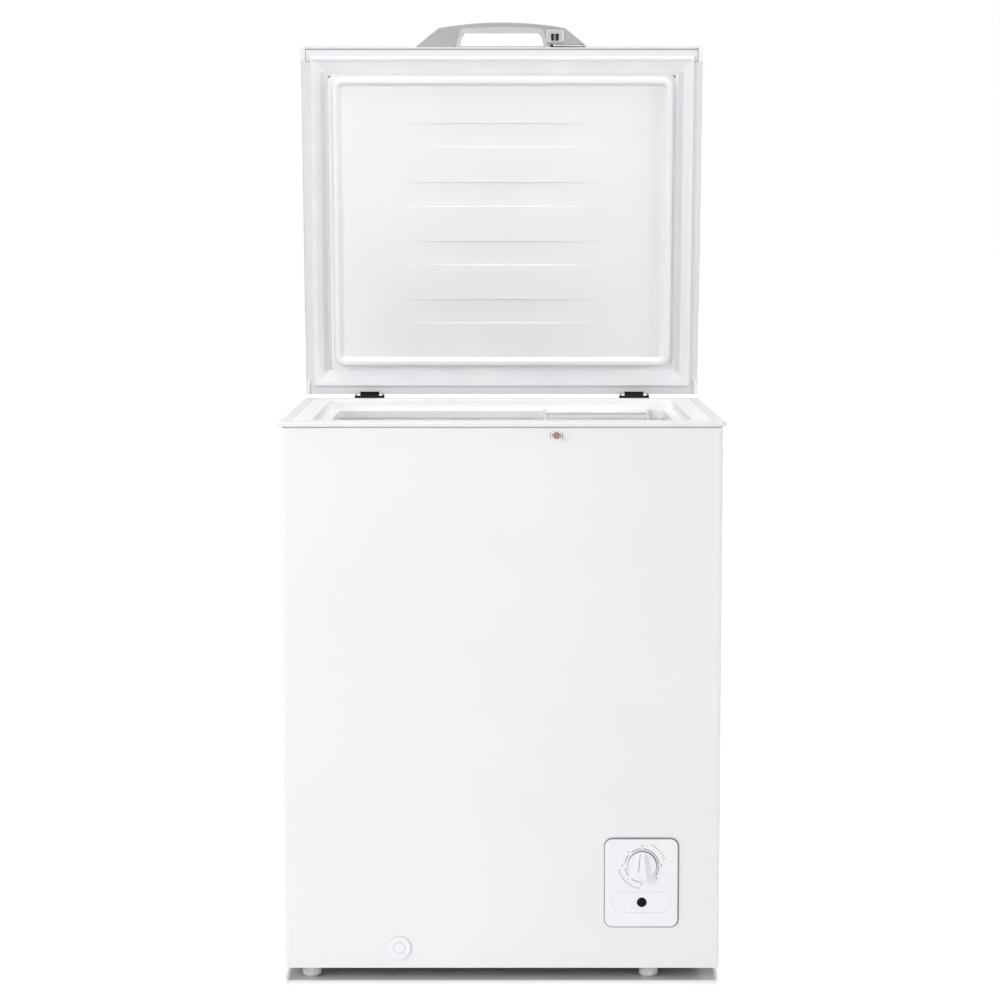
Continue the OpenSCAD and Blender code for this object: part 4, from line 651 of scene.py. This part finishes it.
# arcs printed beside the keeper, and the shade under the rim
keeperLow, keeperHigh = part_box("lock_keeper")
keeperMarks = {"radii": (5.8 * mm, 8.8 * mm), "line": 0.8 * mm, "angles": ((62, 118), (242, 298))}
markShape = bmesh.new()
for radius in keeperMarks["radii"]:
    for start, end in keeperMarks["angles"]:
        printArc(markShape, radius, keeperMarks["line"], start, end)
thicken(markShape, inkThick)
shellLow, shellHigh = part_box("outer_wrapper")
ontoFront(markShape, (keeperLow.x + keeperHigh.x) / 2, shellLow.y, (keeperLow.z + keeperHigh.z) / 2)
placePiece("keeper_marks", markShape, printGrey, "cabinet")
drop = {"height": 1.7 * mm, "proud": 0.15 * mm, "inset": 3 * mm}
dropShape = bmesh.new()
addBar(dropShape, (shellLow.x + drop["inset"], shellLow.y - drop["proud"], shellHigh.z - drop["height"]),
       (shellHigh.x - drop["inset"], shellLow.y, shellHigh.z))
placePiece("rim_shade_line", dropShape, edgeShade, "cabinet")

# the hinge springs, wound as helices
spring = {"wire": 0.9 * mm, "radius": 4.6 * mm, "turns": 10, "steps": 16, "sides": 8, "travel": 3.2 * mm}
for side in ("left", "right"):
    low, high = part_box("hinge_spring_" + side)
    centre = ((low.x + high.x) / 2, (low.y + high.y) / 2, low.z + spring["wire"])
    rise = high.z - low.z - 2 * spring["wire"]
    coil = bmesh.new()
    ring = bmesh.ops.create_circle(coil, cap_ends=False, segments=spring["sides"], radius=spring["wire"])["verts"]
    bmesh.ops.rotate(coil, cent=(0, 0, 0), matrix=quarterTurn, verts=ring)
    bmesh.ops.translate(coil, vec=(centre[0] + spring["radius"], centre[1], centre[2]), verts=ring)
    turnSteps = spring["turns"] * spring["steps"]
    bmesh.ops.spin(coil, geom=ring + coil.edges[:], cent=centre, axis=(0, 0, 1), dvec=(0, 0, rise / turnSteps),
                   angle=math.radians(360 * spring["turns"]), steps=turnSteps)
    bmesh.ops.holes_fill(coil, edges=[e for e in coil.edges if e.is_boundary], sides=0)
    bmesh.ops.recalc_face_normals(coil, faces=coil.faces[:])
    piece = placePiece("hinge_coil_" + side, coil, springSteel, "cabinet", True)
    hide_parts("hinge_spring_" + side)
    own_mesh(piece)
print("joints, trims and springs added")

# pale floor, its colour painted darker under the freezer as a painted shadow; camera, glossy and transmission rays see
# it lifted to white, but not where the freezer keeps light off it
studio = {"floor": "#f7f7f8", "shade": "#cacacb", "lift": 0.9, "front": 0.33, "sides": 0.26,
          "inset": 6 * mm, "sideEdge": 14 * mm, "frontEdge": 150 * mm, "line": 2 * mm, "floorHalf": 30}


# 1 for the rays that see things, camera, glossy and transmission, and 0 for those that light them
def seeingRays(tree):
    rays = addNode(tree, "LightPath")
    seen = addNode(tree, "Math", {"operation": "ADD", "use_clamp": True},
                   {0: (rays, "Is Camera Ray"), 1: (rays, "Is Glossy Ray")})
    return addNode(tree, "Math", {"operation": "ADD", "use_clamp": True},
                   {0: (seen, "Value"), 1: (rays, "Is Transmission Ray")})


def paleSurface():
    material, tree = newMaterial("studio paper")
    low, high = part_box("outer_wrapper")
    middle = [(low[i] + high[i]) / 2 for i in range(2)] + [0]
    half = [(high[i] - low[i]) / 2 for i in range(2)] + [0]
    place = addNode(tree, "TexCoord")
    centred = addNode(tree, "VectorMath", {"operation": "SUBTRACT", 1: middle}, {0: (place, "Object")})
    reach = addNode(tree, "VectorMath", {"operation": "ABSOLUTE"}, {0: (centred, "Vector")})
    beyond = addNode(tree, "VectorMath", {"operation": "SUBTRACT", 1: (half[0] - studio["inset"], half[1], 0)},
                     {0: (reach, "Vector")})
    outside = addNode(tree, "VectorMath", {"operation": "MAXIMUM", 1: (0, 0, 0)}, {0: (beyond, "Vector")})
    edges = (1 / studio["sideEdge"], 1 / studio["frontEdge"], 0)
    scaled = addNode(tree, "VectorMath", {"operation": "MULTIPLY", 1: edges}, {0: (outside, "Vector")})
    away = addNode(tree, "VectorMath", {"operation": "LENGTH"}, {0: (scaled, "Vector")})
    gap = addNode(tree, "VectorMath", {"operation": "LENGTH"}, {0: (outside, "Vector")})
    paintedShadowFade = addNode(tree, "MapRange", {"From Min": 0.0, "From Max": studio["line"]}, {"Value": (gap, "Value")})
    lift = addNode(tree, "MapRange", {"interpolation_type": "SMOOTHSTEP", "To Max": 1.0}, {"Value": (away, "Value")})
    opened = addNode(tree, "Math", {"operation": "MULTIPLY", 1: studio["lift"]}, {0: (lift, "Result")})
    strength = addNode(tree, "Math", {"operation": "MULTIPLY"},
                       {0: (seeingRays(tree), "Value"), 1: (opened, "Value")})
    glow = addNode(tree, "Emission", {"Color": (1, 1, 1, 1)}, {"Strength": (strength, "Value")})
    # the paper's colour turns to the shade grey under the freezer's footprint: a painted shadow
    tone = addNode(tree, "ValToRGB", links={"Fac": (paintedShadowFade, "Result")})
    tone.color_ramp.elements[0].color = linear(studio["shade"])
    tone.color_ramp.elements[1].color = linear(studio["floor"])
    paper = addNode(tree, "BsdfDiffuse", links={"Color": (tone, "Color")})
    both = addNode(tree, "AddShader", links={0: (paper, "BSDF"), 1: (glow, "Emission")})
    finishMaterial(tree, both)
    return material


floorShape = bmesh.new()
bmesh.ops.create_grid(floorShape, x_segments=1, y_segments=1, size=studio["floorHalf"])
floorMesh = bpy.data.meshes.new("studio_floor")
floorShape.to_mesh(floorMesh)
floorShape.free()
floorMesh.materials.append(paleSurface())
floorObject = bpy.data.objects.new("studio_floor", floorMesh)
scene.collection.objects.link(floorObject)

world = bpy.data.worlds.new("studio")
world.use_nodes = True
scene.world = world
worldTree = world.node_tree
worldTree.nodes.clear()
# what lights the object: bright before, above and behind it, dimmer at both sides, so that rounded edges show
heading = addNode(worldTree, "TexCoord")
split = addNode(worldTree, "SeparateXYZ", links={"Vector": (heading, "Generated")})
sideways = addNode(worldTree, "Math", {"operation": "ABSOLUTE"}, {0: (split, "X")})
level = addNode(worldTree, "MapRange", {"interpolation_type": "SMOOTHSTEP", "From Min": 0.35, "From Max": 0.9,
                                        "To Min": studio["front"], "To Max": studio["sides"]},
                {"Value": (sideways, "Value")})
around = addNode(worldTree, "Background", {"Color": (1, 1, 1, 1)}, {"Strength": (level, "Result")})
behind = addNode(worldTree, "Background", {"Color": (1, 1, 1, 1), "Strength": 1.0})
mixed = addNode(worldTree, "MixShader", links={"Fac": (seeingRays(worldTree), "Value"), 1: (around, "Background"),
                                               2: (behind, "Background")})
addNode(worldTree, "OutputWorld", links={"Surface": (mixed, "Shader")})

# soft boxes: a key on the left, a broad one fills in from the front, one lights from the right, one hangs above
lamps = [
    {"name": "key_softbox", "place": (-1.7, -1.8, 1.3), "aim": (-0.2, -0.3, 0.65),
     "size": 1.6, "spread": 100, "watts": 12.5},
    {"name": "front_softbox", "place": (0.3, -4.8, 1.6), "aim": (0, 0, 0.9),
     "size": 2.2, "spread": 180, "watts": 43},
    {"name": "right_softbox", "place": (3.0, -0.6, 1.7), "aim": (0, 0.2, 0.9),
     "size": 0.8, "spread": 180, "watts": 38},
    {"name": "top_softbox", "place": (-0.1, -0.25, 2.8), "aim": (0, -0.1, 0.8),
     "size": 1.0, "spread": 180, "watts": 20},
]
for lamp in lamps:
    data = bpy.data.lights.new(lamp["name"], "AREA")
    data.size = lamp["size"]
    data.energy = lamp["watts"]
    data.spread = math.radians(lamp["spread"])
    light = bpy.data.objects.new(lamp["name"], data)
    light.location = lamp["place"]
    light.rotation_euler = (Vector(lamp["aim"]) - Vector(lamp["place"])).to_track_quat("-Z", "Y").to_euler()
    scene.collection.objects.link(light)
print("studio lit")
